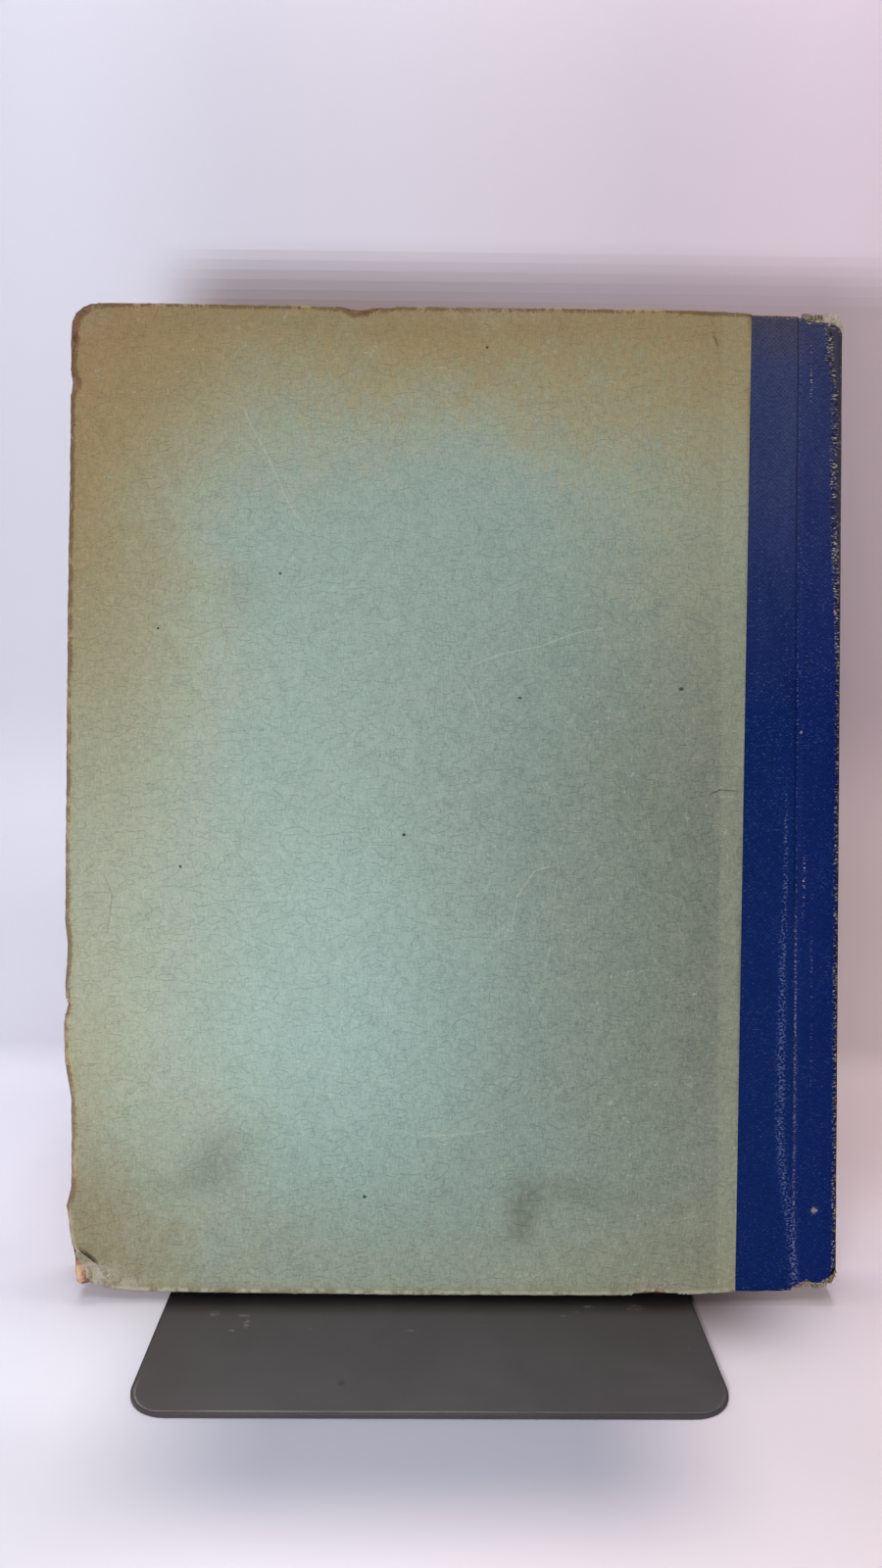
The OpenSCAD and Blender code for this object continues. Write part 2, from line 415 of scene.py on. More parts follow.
class Shade:
    """One procedural material, written as arithmetic on places in millimetres.

    A piece with a "lay" layer is drawn on its flat sheet, any other on its own solid. A colour is
    three numbers of 0 to 255 on the screen, four linear ones, or a socket.
    """

    def __init__(self, name, specular, seed=0, flat=True):
        self.material = bpy.data.materials.new(name)
        self.material.use_nodes = True
        self.nodes = self.material.node_tree.nodes
        self.links = self.material.node_tree.links
        self.shader = self.nodes["Principled BSDF"]
        self.shader.inputs["Specular IOR Level"].default_value = specular
        self.seed = seed
        if flat:
            self.place = self.add("Attribute", attribute_name="lay").outputs["Vector"]
        else:
            self.place = self.scale(self.add("TexCoord").outputs["Object"], 1 / MM)
        split = self.add("SeparateXYZ")
        self.feed(split.inputs[0], self.place)
        self.x, self.y, self.z = (Value(self, s) for s in split.outputs)

    def add(self, kind, **settings):
        node = self.nodes.new("ShaderNode" + kind)
        for key, value in settings.items():
            setattr(node, key, value)
        return node

    def feed(self, socket, value):
        if isinstance(value, Value):
            self.links.new(value.socket, socket)
        elif isinstance(value, bpy.types.NodeSocket):
            self.links.new(value, socket)
        elif isinstance(value, tuple) and len(value) == 3:
            socket.default_value = srgb(*value)
        else:
            socket.default_value = value

    def node(self, kind, inputs, output=0, **settings):
        """Adds a node, feeds its inputs and returns one of its outputs."""
        node = self.add(kind, **settings)
        for key, value in inputs.items():
            self.feed(node.inputs[key], value)
        return node.outputs[output]

    def math(self, operation, a, b=0):
        return Value(self, self.node("Math", {0: a, 1: b}, operation=operation))

    def most(self, a, b):
        return self.math("MAXIMUM", a, b)

    def layer(self, name):
        return Value(self, self.add("Attribute", attribute_name=name).outputs["Fac"])

    def ramp(self, value, low, high, first=0, last=1):
        """`first` below low, `last` above high, smooth between; high may be the smaller."""
        if low > high:
            low, high, first, last = high, low, last, first
        inputs = {"Value": value, "From Min": low, "From Max": high, "To Min": first, "To Max": last}
        return Value(self, self.node("MapRange", inputs, interpolation_type="SMOOTHSTEP"))

    def band(self, value, centre, half):
        """1 at the centre, falling to 0 at `half` on either side."""
        return self.ramp(abs(value - centre), half, 0)

    def noise(self, size, step=0, detail=2, rough=0.5, stretch=(1, 1, 1)):
        """Noise of about -0.5 to 0.5, its features about `size` millimetres times each stretch."""
        seed = self.seed + step
        inputs = {0: self.place, 1: [1 / (size * s) for s in stretch], 2: [seed, seed * 1.7, seed * 0.6]}
        place = self.node("VectorMath", inputs, operation="MULTIPLY_ADD")
        inputs = {"Vector": place, "Scale": 1, "Detail": detail, "Roughness": rough}
        return Value(self, self.node("TexNoise", inputs)) - 0.5

    def mix(self, factor, a, b):
        return self.node("Mix", {0: factor, 6: a, 7: b}, 2, data_type="RGBA")

    def coat(self, factor, colour):
        """Lays another colour over the material's colour so far."""
        self.colour = self.mix(factor, self.colour, colour)

    def scale(self, vector, factor):
        return self.node("VectorMath", {0: vector, "Scale": factor}, operation="SCALE")

    def light(self, factor):
        """Makes the material's colour so far lighter or darker by a number around 1."""
        self.colour = self.scale(self.colour, factor)

    def finish(self, roughness, height, deep):
        """Sets colour and roughness, and a height of 0 to 1 that stands for `deep` millimetres."""
        bump = self.node("Bump", {"Distance": deep * MM, "Height": height})
        inputs = self.shader.inputs
        for key, value in (("Base Color", self.colour), ("Roughness", roughness), ("Normal", bump)):
            self.feed(inputs[key], value)
        return self.material


def cover_paper_material(name, seed, specks=()):
    """Sage paper, browned towards its edges, with a fibrous grain, rubbed marks and stains, and painted
    shade towards the right, low down, at the left edge and in its creases.
    """
    s = Shade(name, 0.3, seed)
    edge = s.layer("edge")
    broad = s.noise(45)
    patchy = s.noise(12, 1, 4, 0.6)
    mottle = s.noise(2.4, 21, 3, 0.6, (1, 1.8, 1))
    blotch = s.noise(5.5, 25, 3, 0.6)
    fine = s.noise(0.5, 3, 3, 0.65)
    fibre = s.noise(0.45, 7, 2, 0.6, (1, 5, 1))
    cross = s.noise(0.45, 9, 2, 0.6, (5, 1, 1))
    drift = broad * 34 + patchy * 16 + mottle * 20
    height = s.y + drift
    top = s.ramp(height, 205, 270, 0, 0.95)
    left = s.ramp(height, 100, 235, 0.36, 0.92) + s.ramp(height, 100, 15, 0, 0.3)
    left = s.ramp(s.x + drift, -42, -104) * left
    right = s.ramp(s.x + drift, 5, 84) * s.ramp(height, 130, 215, 0.3, 0.42)
    foot = s.ramp(height, 36, -8, 0, 0.32)
    rim = s.ramp(edge + patchy * 4, 3, 0, 0, 0.25)
    kept = (1 - top) * (1 - left) * (1 - right) * (1 - foot) * (1 - rim)
    toning = s.add("ValToRGB")
    s.feed(toning.inputs[0], 1 - kept + fine * 0.06 + mottle * 0.1 + blotch * 0.1)
    elements = toning.color_ramp.elements
    elements[0].color = srgb(147, 169, 159)
    elements[-1].color = srgb(156, 133, 94)
    for place, tone in ((0.3, (155, 165, 146)), (0.6, (156, 153, 123)), (0.82, (156, 142, 105))):
        elements.new(place).color = srgb(*tone)
    s.colour = toning.outputs["Color"]
    centre = s.ramp(abs(s.x + 24) + abs(s.y - 68) * 0.8 + drift, 80, 0, 0, 0.6)
    s.coat(centre * kept, (149, 179, 173))
    stain = s.layer("stain") * s.ramp(mottle + fine * 0.4, -0.2, 0.12, 0.25, 0.8)
    s.coat(stain * 0.85, (96, 102, 76))
    # painted shade: the paper is darker to the right and low down, a little lighter at the top right, and
    # darker low on the left and along the left edge
    soft = broad * 20
    painted_shade = s.ramp(s.x + soft, -60, 75, 0, 0.46) * s.ramp(s.y + soft, 255, 120, -0.16, 1)
    painted_shade = painted_shade * s.ramp(s.y + soft, -80, 80)
    painted_shade = painted_shade + s.ramp(s.y + soft, 66, 10) * s.ramp(s.x, 40, -50, 0.03, 0.18)
    painted_shade = painted_shade + (s.ramp(s.y, 75, 20) * 0.13 + s.band(s.y, 165, 85) * 0.1) * s.ramp(s.x, -60, -98)
    grain = fine * 0.55 + fibre * 0.42 + cross * 0.36 + mottle * 0.2 + blotch * 0.16
    s.light(grain + patchy * 0.1 - painted_shade + 1)
    flecks = s.ramp(s.noise(0.7, 31, 1, 0.5, (2.6, 1, 1)), 0.2, 0.26)
    s.coat(flecks * 0.2, (178, 186, 164))
    thin = s.noise(7, 64)
    pale_hair = s.band(s.noise(2.8, 61, 2, 0.5, (1.7, 1, 1)), 0, 0.016)
    s.coat(pale_hair * s.ramp(thin, -0.04, 0.1, 0, 0.36), (186, 196, 178))
    dark_hair = s.band(s.noise(3.4, 71, 2, 0.5, (1, 1.6, 1)), 0, 0.014)
    s.coat(dark_hair * s.ramp(thin, -0.02, -0.14, 0, 0.17), (104, 112, 92))
    s.coat(s.ramp(s.noise(0.7, 41, 1), 0.265, 0.29) * 0.6, (96, 92, 72))
    for x, z, half in specks:
        speck = s.band(s.x + fine * 0.5, x, half) * s.band(s.y, z, half * 0.8)
        s.coat(s.ramp(speck, 0.05, 0.3, 0, 0.9), (46, 44, 38))
    rub_and_crease_shade = s.layer("rub_and_crease_shade")
    s.coat(s.ramp(rub_and_crease_shade, 0, 0.9, 0, 0.75), (184, 194, 174))
    # painted shade darkens the creases and the slit under the corner flap
    s.coat(s.ramp(rub_and_crease_shade, 0, -0.55, 0, 0.9), (76, 68, 50))
    s.coat(s.ramp(s.x, 70.6, 71.6) * 0.13, (180, 186, 160))
    # along the torn edges the paper is down to its brown and white fibres
    bald = s.ramp(mottle + fibre * 0.6 + patchy, -0.02, 0.18)
    pale_foot = s.ramp(s.y, 30, 4) * s.ramp(mottle + patchy, -0.14, 0.06, 0.3, 0.9)
    worn = s.mix(pale_foot, s.mix(bald, (104, 78, 52), (172, 144, 112)), (184, 188, 170))
    s.coat(s.ramp(edge + fine * 1.4 + patchy * 1.6, 1.1, 0.25) * 0.72, worn)
    s.coat(s.layer("abraded") * s.ramp(fine + mottle, -0.15, 0.1), (172, 164, 152))
    height = fine * 0.45 + fibre * 0.25 + cross * 0.2 + patchy * 0.9
    height = height + mottle * 0.9 + blotch * 0.8 + pale_hair * 0.5
    return s.finish(s.ramp(patchy, -0.2, 0.2, 0.52, 0.66) + fine * 0.2, height, 0.16)


def cloth_material(name, seed):
    """Blue book cloth: a plain weave, dusty at the head, its threads bare along the shoulder, with painted
    shade in the joint's groove, past the shoulder and in a hole.
    """
    s = Shade(name, 0.05, seed)
    u, z = s.x, s.y
    thread_pitch = 0.62
    wave = s.noise(9) + 0.5
    warp = s.math("SINE", (u + wave * 0.6) * (math.pi / thread_pitch))
    weft = s.math("SINE", (z + wave * 0.9) * (math.pi / thread_pitch))
    weave = warp * weft * 0.5 + 0.5
    fine = s.noise(0.6, 3, 2, 0.6)
    patchy = s.noise(11, 5, 4, 0.65, (0.6, 2.2, 1))
    sway = s.noise(30, 17, 2, 0.5, (50, 1, 50))
    s.colour = s.mix(s.ramp(u, 91.4, 92.6) * s.ramp(z, 110, 220, 0.3, 0.8), (9, 34, 90), (12, 31, 98))
    dusty = s.ramp(z + patchy * 30, 150, 258) * s.ramp(u, 92.6, 91.4, 0.75, 1)
    s.coat(dusty, (60, 69, 108))
    grey = s.ramp(z + fine * 18 + patchy * 12, 246, 263) * s.ramp(u, 92.6, 91.4, 0.4, 0.8)
    s.coat(grey, (80, 77, 92))
    lines = s.noise(0.62, 33, 1, 0.5, (3.2, 0.8, 1))
    s.light(weave * 0.3 + fine * 0.8 + lines * 0.8 + 0.85)
    s.light(patchy * 0.3 + 1)
    speck = s.noise(0.5, 11, 1, 0.5, (1.5, 0.8, 1))
    spread = s.noise(8, 12, 2, 0.6)
    specks = s.ramp(speck + spread * 0.2 + weave * 0.03, 0.12, 0.24)
    s.coat(specks * s.ramp(z, 90, 190, 0.2, 0.38), (86, 102, 142))
    # what bare cotton shows through is broken up by these
    bare = s.ramp(speck + fine * 0.25, -0.03, 0.1)
    threads = s.noise(0.7, 15, 1, 0.5, (2.4, 0.62, 1)) + spread * 0.2
    threads = s.ramp(threads, 0, 0.1)
    cream = s.mix(s.ramp(fine, -0.2, 0.2), (212, 202, 186), (150, 140, 126))
    dotted = s.ramp(speck + fine * 0.3, 0, 0.12)
    # the joint is rubbed pale along both its sides, and painted shade darkens its groove
    rub_u = u + sway * 1.6 + s.ramp(z, 125, 50) - s.ramp(z, 48, 4, 0, 4)
    rub = s.band((rub_u - 89) / s.ramp(z, 140, 50, 0.6, 2), 0, 1) * s.ramp(z, 140, 124) * dotted
    s.coat(rub * 0.55, (108, 122, 168))
    crease_low = s.band(u + sway * 0.6, 91.9, 0.7) * s.ramp(z, 112, 90) * (dotted * 0.6 + 0.08)
    crease_high = s.band(u + sway * 0.5, 92, 0.3) * s.ramp(speck, 0.04, 0.16) * 0.35
    s.coat(crease_low * 0.75 + crease_high, (126, 130, 158))
    s.coat(s.band(u + sway * 0.9, 91.3, 0.3) * s.ramp(z, 95, 150) * 0.45, (14, 18, 42))
    for line, low, high, strength in ((93.9, 96, 124, 0.9), (94.9, 236, 259, 0.9), (96.2, 40, 120, 0.3)):
        reach = s.band(z + fine * 6, (low + high) / 2, (high - low) / 2)
        s.coat(s.band(u + sway * 0.8, line, 0.5) * reach * bare * threads * strength, cream)
    edge_u = u + s.ramp(z, 243, 252, 0, 1.6) - s.ramp(z, 215, 165, 0, 1.8) + patchy
    shadow = s.mix(s.ramp(z, 150, 240), (46, 46, 60), (74, 72, 84))
    s.coat(s.ramp(edge_u, 100.6, 102.6) * s.ramp(u, 107.5, 105) * 0.8, shadow)
    black = s.ramp(s.noise(0.6, 19, 1, 0.5, (1.8, 0.8, 1)), 0, 0.08)
    shoulder = s.ramp(edge_u, 99.9, 100.9) * s.ramp(edge_u, 103.1, 101.9)
    s.coat(shoulder * black * 0.75, (26, 24, 30))
    s.coat(shoulder * threads * (bare * 0.8 + 0.12), cream)
    s.coat(s.ramp(u, 102.5, 103.5) * s.ramp(u, 108, 106) * threads * bare * 0.4, cream)
    spot = s.band(u, 97.3, 2) * s.band(z, 22.2, 1.9) + s.band(u, 93, 0.7) * s.band(z, 150.5, 0.9)
    s.coat(s.ramp(spot + fine * 1.4, 0.35, 1, 0, 0.85), (150, 144, 138))
    brown = s.mix(fine + 0.5, (58, 44, 34), (142, 122, 100))
    tufts = s.mix(s.ramp(threads + fine * 0.4 + bare * 0.3, 0.2, 0.8), brown, cream)
    s.coat(s.ramp(s.layer("fray") + speck * 1.1 + fine * 0.5, 0.3, 0.62), tufts)
    mark = s.layer("mark")
    s.coat(s.ramp(mark + fine * 0.8, 0.35, 0.75), (176, 166, 150))
    # painted shade: a mark below zero is a hole, drawn near black
    s.coat(s.ramp(mark, -0.2, -0.8), (14, 11, 11))
    height = weave * 0.7 + fine * 0.5 + lines * 0.5 + threads * shoulder * 0.9
    return s.finish(s.ramp(weave + patchy * 0.5, -0.05, 0.95, 0.55, 0.7), height, 0.09)


def board_material(name):
    """Strawboard: a tan fibrous pulp, browner at its old edges and paler where freshly split."""
    s = Shade(name, 0.2)
    fibre = s.noise(0.5, 0, 3, 0.65, (2.5, 1, 1))
    layers = s.noise(0.25, 4, 2, 0.6, (14, 14, 1))
    patchy = s.noise(5, 8, 3, 0.6)
    s.colour = s.mix(s.ramp(patchy + fibre * 0.5, -0.25, 0.2), (98, 70, 54), (152, 118, 92))
    s.coat(s.ramp(s.layer("fresh") + fibre * 0.5, 0.3, 0.7), (214, 176, 146))
    s.light(fibre * 0.4 + layers * 0.35 + 1)
    return s.finish(0.85, fibre + layers * 0.6, 0.12)


def leaf_material(name, seed, body=(226, 212, 182), edge_tint=(178, 150, 108)):
    """Book paper: cream, toned from its edges inwards, with a soft tooth and a few brown spots."""
    s = Shade(name, 0.25, seed)
    rim = s.layer("rim")
    patchy = s.noise(25, 0, 3, 0.6)
    fine = s.noise(0.5, 4, 2, 0.6)
    leaf = s.noise(0.12, 6, 1, 0.5, (400, 60, 1))
    s.colour = s.mix(s.ramp(rim + patchy * 8, 16, 0, 0, 0.45), body, edge_tint)
    s.coat(s.ramp(rim, 0.6, 0, 0, 0.5) * s.ramp(leaf, -0.15, 0.15), (150, 118, 78))
    s.coat(s.ramp(s.noise(2.2, 8, 2, 0.6), 0.24, 0.30) * 0.35, (160, 120, 76))
    s.light(fine * 0.1 + patchy * 0.08 + 1)
    return s.finish(0.75, fine, 0.02)


# Marks on the foot: x, distance from its front edge, half width, half depth, and strength, which
# is below zero for a dark one. The pale patch and dark dot at about x -62 and at about x 50 are a painted
# highlight and painted shade for two small dents; the rest are scratches and smudges.
FOOT_MARKS = (
    (-61.8, 41.2, 3, 3.4, 0.9), (-52.7, 36.6, 1.5, 4.4, 1), (-56, 33.4, 2.4, 1.3, 1),
    (-54, 40.4, 3.6, 1.2, 1), (-36.1, 34.5, 0.9, 0.9, 1), (-10.8, 33.8, 3.6, 1, 1),
    (29.5, 40.8, 1.8, 0.9, 1), (32.7, 42.8, 2.2, 1, 1), (36.6, 45.3, 3, 1, 1), (49, 45, 7, 4.5, 0.7),
    (59.1, 26, 0.8, 0.8, 1), (-61.9, 46.2, 0.9, 0.9, -1), (50.2, 48.4, 1.3, 0.8, -1),
    (-26.5, 11.5, 2, 3, -0.45),
)


def paint_material():
    """Dark grey satin paint on steel: a faint orange peel, scratches and smudges, with painted shade along
    its edges, where the book stands and in two small dents, and painted highlights on the foot's front
    edge and the dents.
    """
    s = Shade("grey_paint", 0.3)
    peel = s.noise(0.8, 2)
    cloud = s.noise(22, 4, 4, 0.6)
    streak = s.noise(1.4, 6, 3, 0.6, (14, 1.2, 1))
    broken = s.noise(0.6, 11, 3, 0.7, (1.6, 1, 1))
    rim = s.layer("edge")
    s.colour = s.mix(s.ramp(cloud, -0.2, 0.2), (81, 76, 79), (87, 82, 85))
    s.light(peel * 0.12 + streak * 0.12 + 1)
    # painted shade: the foot is darker in a band where the book stands on it
    s.light(1 - s.ramp(s.y + peel * 0.6, 39, 47.6) * s.ramp(s.y, 60, 52) * 0.8)
    # painted shade along the sheet's edges, and a painted highlight along the foot's front edge, strongest
    # at the left
    s.light(1 - s.ramp(rim + peel * 0.8, 0.7, 0.1) * 0.45)
    painted_edge_highlight = s.band(rim, 0.95, 0.45) * s.ramp(s.y, 16, 4) * s.ramp(s.x, 60, -60, 0.2, 1)
    s.coat(painted_edge_highlight * s.ramp(streak, -0.15, 0.1, 0.35, 0.8), (150, 146, 146))
    marks = [0, 0]
    for x, run, wide, long, strength in FOOT_MARKS:
        mark = s.band(s.x, x, wide) * s.band(s.y, run, long) * abs(strength)
        marks[strength < 0] = mark + marks[strength < 0]
    pale, dark = marks
    s.coat(s.ramp(pale * (broken + 0.2) * 2.6, 0.2, 0.75, 0, 0.55), (150, 144, 144))
    s.coat(s.ramp(dark * (broken + 1.1), 0.1, 0.9, 0, 0.9), (34, 30, 26))
    return s.finish(s.ramp(cloud + streak * 0.5, -0.2, 0.2, 0.36, 0.52), peel * 0.7 + cloud, 0.02)


def plain_fibre_material(name, dark, pale, size, stretch, deep):
    """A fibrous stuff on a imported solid, such as kraft paper or thread."""
    s = Shade(name, 0.2, flat=False)
    long = s.noise(size, 0, 3, 0.6, stretch)
    short = s.noise(size * 0.4, 5, 2, 0.6)
    s.colour = s.mix(s.ramp(long * 0.6 + s.noise(size * 20, 9) * 0.4, -0.15, 0.15), dark, pale)
    s.light(short * 0.25 + 1)
    return s.finish(0.85, long + short * 0.5, deep)


def woven_material(name, dark, pale, pitch, deep):
    """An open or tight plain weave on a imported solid."""
    s = Shade(name, 0.2, flat=False)
    turn = 2 * math.pi / pitch
    weave = s.math("SINE", (s.x + s.y) * turn) * s.math("SINE", s.z * turn) * 0.5 + 0.5
    slub = s.noise(pitch * 3, 0, 2, 0.5, (1, 1, 4))
    s.colour = s.mix(s.ramp(weave * 0.7 + slub * 0.4, 0, 0.7), dark, pale)
    return s.finish(0.85, weave + slub * 0.3, deep)


def thread_material():
    """Loose cotton ends, from cream to dusty brown."""
    s = Shade("loose_thread", 0.2)
    twist = s.noise(0.15)
    s.colour = s.mix(s.ramp(s.layer("tint"), 0.15, 0.95), (212, 202, 186), (96, 78, 62))
    s.light(twist * 0.4 + 1)
    return s.finish(0.85, twist, 0.03)


def set_material(obj, material):
    obj.data.materials.clear()
    obj.data.materials.append(material)


# ---- the covers ----

# The back cover's worn outline, from the joint along the head, down the fore edge and back
# along the tail. "fold" is where the paper still turns over the board, "torn" where it is torn.
BACK_PAPER = (
    ("fold", ((78.8, 263.2), (71.6, 263.6), (60, 263.9), (30, 264), (3, 264), (-17, 264))),
    ("torn", ((-17.6, 263.4), (-21.5, 262.8), (-25, 261.5), (-28.8, 261.8), (-32, 263.5))),
    ("fold", ((-32.8, 263.8), (-57, 264), (-83, 264), (-96.6, 264))),
    ("torn", ((-97.6, 263.2), (-99.2, 262), (-101.2, 259.4), (-102, 254), (-102.8, 250.2), (-103.4, 247))),
    ("fold", ((-103.9, 246.4), (-103.9, 245.8))),
    ("torn", ((-103.2, 245.1), (-102.3, 244.6), (-101.5, 242.6), (-101.4, 240.7), (-103.2, 239.7))),
    ("fold", (
        (-103.8, 239.2), (-103.8, 215), (-104, 190), (-104, 160), (-104, 120), (-103.9, 98),
        (-103.2, 92.4), (-103.3, 88), (-103.8, 82), (-103.5, 77.6))),
    ("torn", ((-103, 77), (-102.2, 76), (-102.6, 74.8), (-103.3, 74.2))),
    ("fold", (
        (-103.7, 73.6), (-104, 70), (-103.6, 60.7), (-102.7, 55.7), (-101.9, 51.6), (-101.6, 40),
        (-101.6, 27.5), (-102.3, 24.6), (-102.8, 22.3), (-102.2, 18.6), (-101.8, 15), (-101.2, 11.8))),
    ("torn", ((-100.4, 11.2), (-99.4, 9.6), (-98.2, 7.6), (-97.4, 5.4), (-97, 3.2))),
    ("fold", (
        (-96.6, 2.2), (-94.2, 1.1), (-89.9, 0.2), (-85.5, -0.2), (-75, -0.5), (-45, -0.8), (-10, -1),
        (30, -1), (48.5, -0.9))),
    ("torn", ((49.3, -0.3), (52, 0.5), (56, 0.3), (60, 0), (62.5, -0.4))),
    ("fold", ((63.3, -0.7), (70, -0.3), (76.2, 0.1))),
)
# The back board's own outline, all the way round.
BACK_BOARD = (
    (91.6, 262.7), (76, 263), (60, 263.6), (30, 263.7), (-17, 263.7), (-21.5, 263.5), (-26, 262.9),
    (-29, 263.1), (-32, 263.7), (-57, 263.8), (-96.5, 263.9), (-98.6, 263.7), (-100.6, 262.9),
    (-102.5, 261.3), (-103.6, 259), (-103.9, 254), (-103.8, 246), (-103.6, 244.6), (-103.3, 242.4),
    (-103.6, 239.4), (-103.6, 215), (-103.8, 160), (-103.7, 98), (-103, 92.4), (-103.6, 82),
    (-102.9, 76), (-103.5, 73.6), (-103.8, 70), (-103.4, 60.7), (-102.5, 55.7), (-101.5, 51.8),
    (-101.4, 27), (-102.4, 22.3), (-101.5, 15), (-101, 11.6), (-100.4, 8.6), (-100.2, 4.6), (-99.8, 2.2),
    (-98.6, 1.4), (-96.6, 1.9), (-93.8, 1.3), (-89.9, 0.4), (-75, -0.3), (-10, -0.8), (40, -0.8),
    (49.3, -0.5), (54, -0.2), (62, -0.4), (76, 0.2), (91.6, 0.4),
)
# Where the board is freshly split: x, z, half width, half height and strength.
BACK_FRESH = ((-98.8, 4.8, 1.9, 3.6, 1),)
# Rubbed pale lines are positive; creases, darkened with painted shade, are negative, the last one the
# painted shadow under the corner flap: points, half width and strength.
BACK_STROKES = (
    ((
        (-57.9, 237.4), (-55.3, 231.1), (-51.6, 224.7), (-49, 218.9), (-46.3, 213), (-43.6, 208),
        (-39.7, 203.8)), 0.35, 0.62),
    (((3.8, 167.4), (12, 170.8), (22.2, 172.8), (31.5, 176.4), (40.6, 178.2)), 0.4, 0.5),
    (((1.2, 164.7), (4.8, 158.8), (6.6, 151.6)), 0.35, 0.45),
    (((67.3, 133.2), (71, 134.8), (77, 134.3)), 0.3, -0.7),
    (((-93.9, 111.5), (-91.4, 106), (-91.7, 101), (-92.9, 93.2)), 0.25, -0.28),
    (((-43.5, 62), (-34, 58.4), (-22, 57), (-12.5, 54.2)), 0.6, 0.35),
    (((-40.5, 54.6), (-30, 52), (-17, 51.6)), 0.5, 0.3),
    (((-10, 41.5), (1, 42), (11.5, 43.4)), 0.45, 0.4),
    (((15.2, 95.8), (17, 106), (21.4, 112.6), (27, 114.4)), 0.35, 0.45),
    (((27.5, 112), (26.2, 96), (24.4, 82)), 0.35, 0.3),
    (((-32, 127), (-25, 121), (-17.6, 113.6)), 0.35, 0.3),
    (((33, 186), (37.2, 187.6)), 0.3, 0.5),
    (((68, 258.6), (69.2, 255.4), (69.9, 252.6)), 0.7, -0.4),
    (((-98.6, 11), (-96.6, 9.6), (-93.6, 7)), 0.5, -1),
)
# Dark specks: x, z and half width.
BACK_SPECKS = (
    (-73.2, 113.2, 0.6), (-13.6, 122.1, 0.7), (60.5, 161.8, 0.8), (17.2, 159, 0.6), (-23.3, 25.3, 0.7),
    (-47.3, 191.8, 0.5), (-79.8, 176.8, 0.5), (7.6, 253, 0.5),
)
# Stains and rubbed bare patches: x, z, half width, half height and strength.
BACK_STAINS = (
    (-63, 33.6, 6.5, 5.6, 0.75), (-59, 40.5, 7.5, 3.5, 0.4), (-72, 28.5, 9, 3, 0.5),
    (19.4, 22.5, 4.4, 7, 1), (18, 15.8, 3.6, 2.4, 0.6), (-58, 186, 7, 7, 0.25), (30, 28, 11, 3.4, 0.5),
    (44, 24, 22, 3, 0.25), (-20, 258, 60, 4, 0.2), (66, 100, 4, 40, 0.15),
)
BACK_ABRADED = (
    (-94, 4.6, 4.2, 2.6, 1.2), (-88, 2.2, 6, 1.6, 0.9), (-101.6, 40, 0.8, 14, 0.5), (56, 1.2, 8, 1.1, 1),
    (77.4, 1.5, 1.6, 1.6, 0.7), (12, 263, 16, 0.7, 0.7), (-98, 260, 3, 3, 0.4),
)
# The front cover is worn more mildly.
FRONT_PAPER = (
    ("fold", (
        (78, 263.6), (40, 263.9), (-20, 264), (-70, 263.9), (-100.6, 263.8), (-102.6, 262.9),
        (-103.6, 261), (-104, 240), (-104, 180), (-103.8, 128), (-103.4, 120), (-103.9, 112), (-104, 60),
        (-103.7, 6), (-102.8, 2.6), (-100.9, 0.8), (-94, 0.1), (-40, 0), (10, 0.15), (50, 0), (78, 0.1))),
)
FRONT_BOARD = (
    (91.6, 263.5), (40, 263.65), (-20, 263.75), (-70, 263.65), (-100.5, 263.5), (-102.4, 262.7),
    (-103.3, 260.8), (-103.7, 240), (-103.7, 180), (-103.5, 128), (-103.1, 120), (-103.6, 112),
    (-103.7, 60), (-103.4, 6), (-102.5, 2.8), (-100.7, 1.1), (-94, 0.4), (10, 0.4), (91.6, 0.4),
)
FRONT_STAINS = ((30, 200, 9, 7, 0.35), (-60, 60, 12, 5, 0.3))
FRONT_ABRADED = ((-102, 262, 3, 3, 1), (-102, 2, 3, 3, 1), (-103.5, 120, 1, 8, 0.8))


def blots(x, z, spots):
    """Soft spots of (x, z, half width, half height, strength), added up at a place."""
    return sum(f * math.exp(-((x - a) / w) ** 2 - ((z - b) / h) ** 2) for a, b, w, h, f in spots)


EDGE_R = 0.6
# How the paper rolls over a board's edge: distance out from the flat face, and depth.
EDGE_ROLL = (
    (EDGE_R * 0.5, EDGE_R * 0.134), (EDGE_R * 0.866, EDGE_R * 0.5), (EDGE_R, EDGE_R),
    (EDGE_R, COVER_T - 0.45), (EDGE_R * 0.8, COVER_T - 0.12), (EDGE_R * 0.45, COVER_T),
)


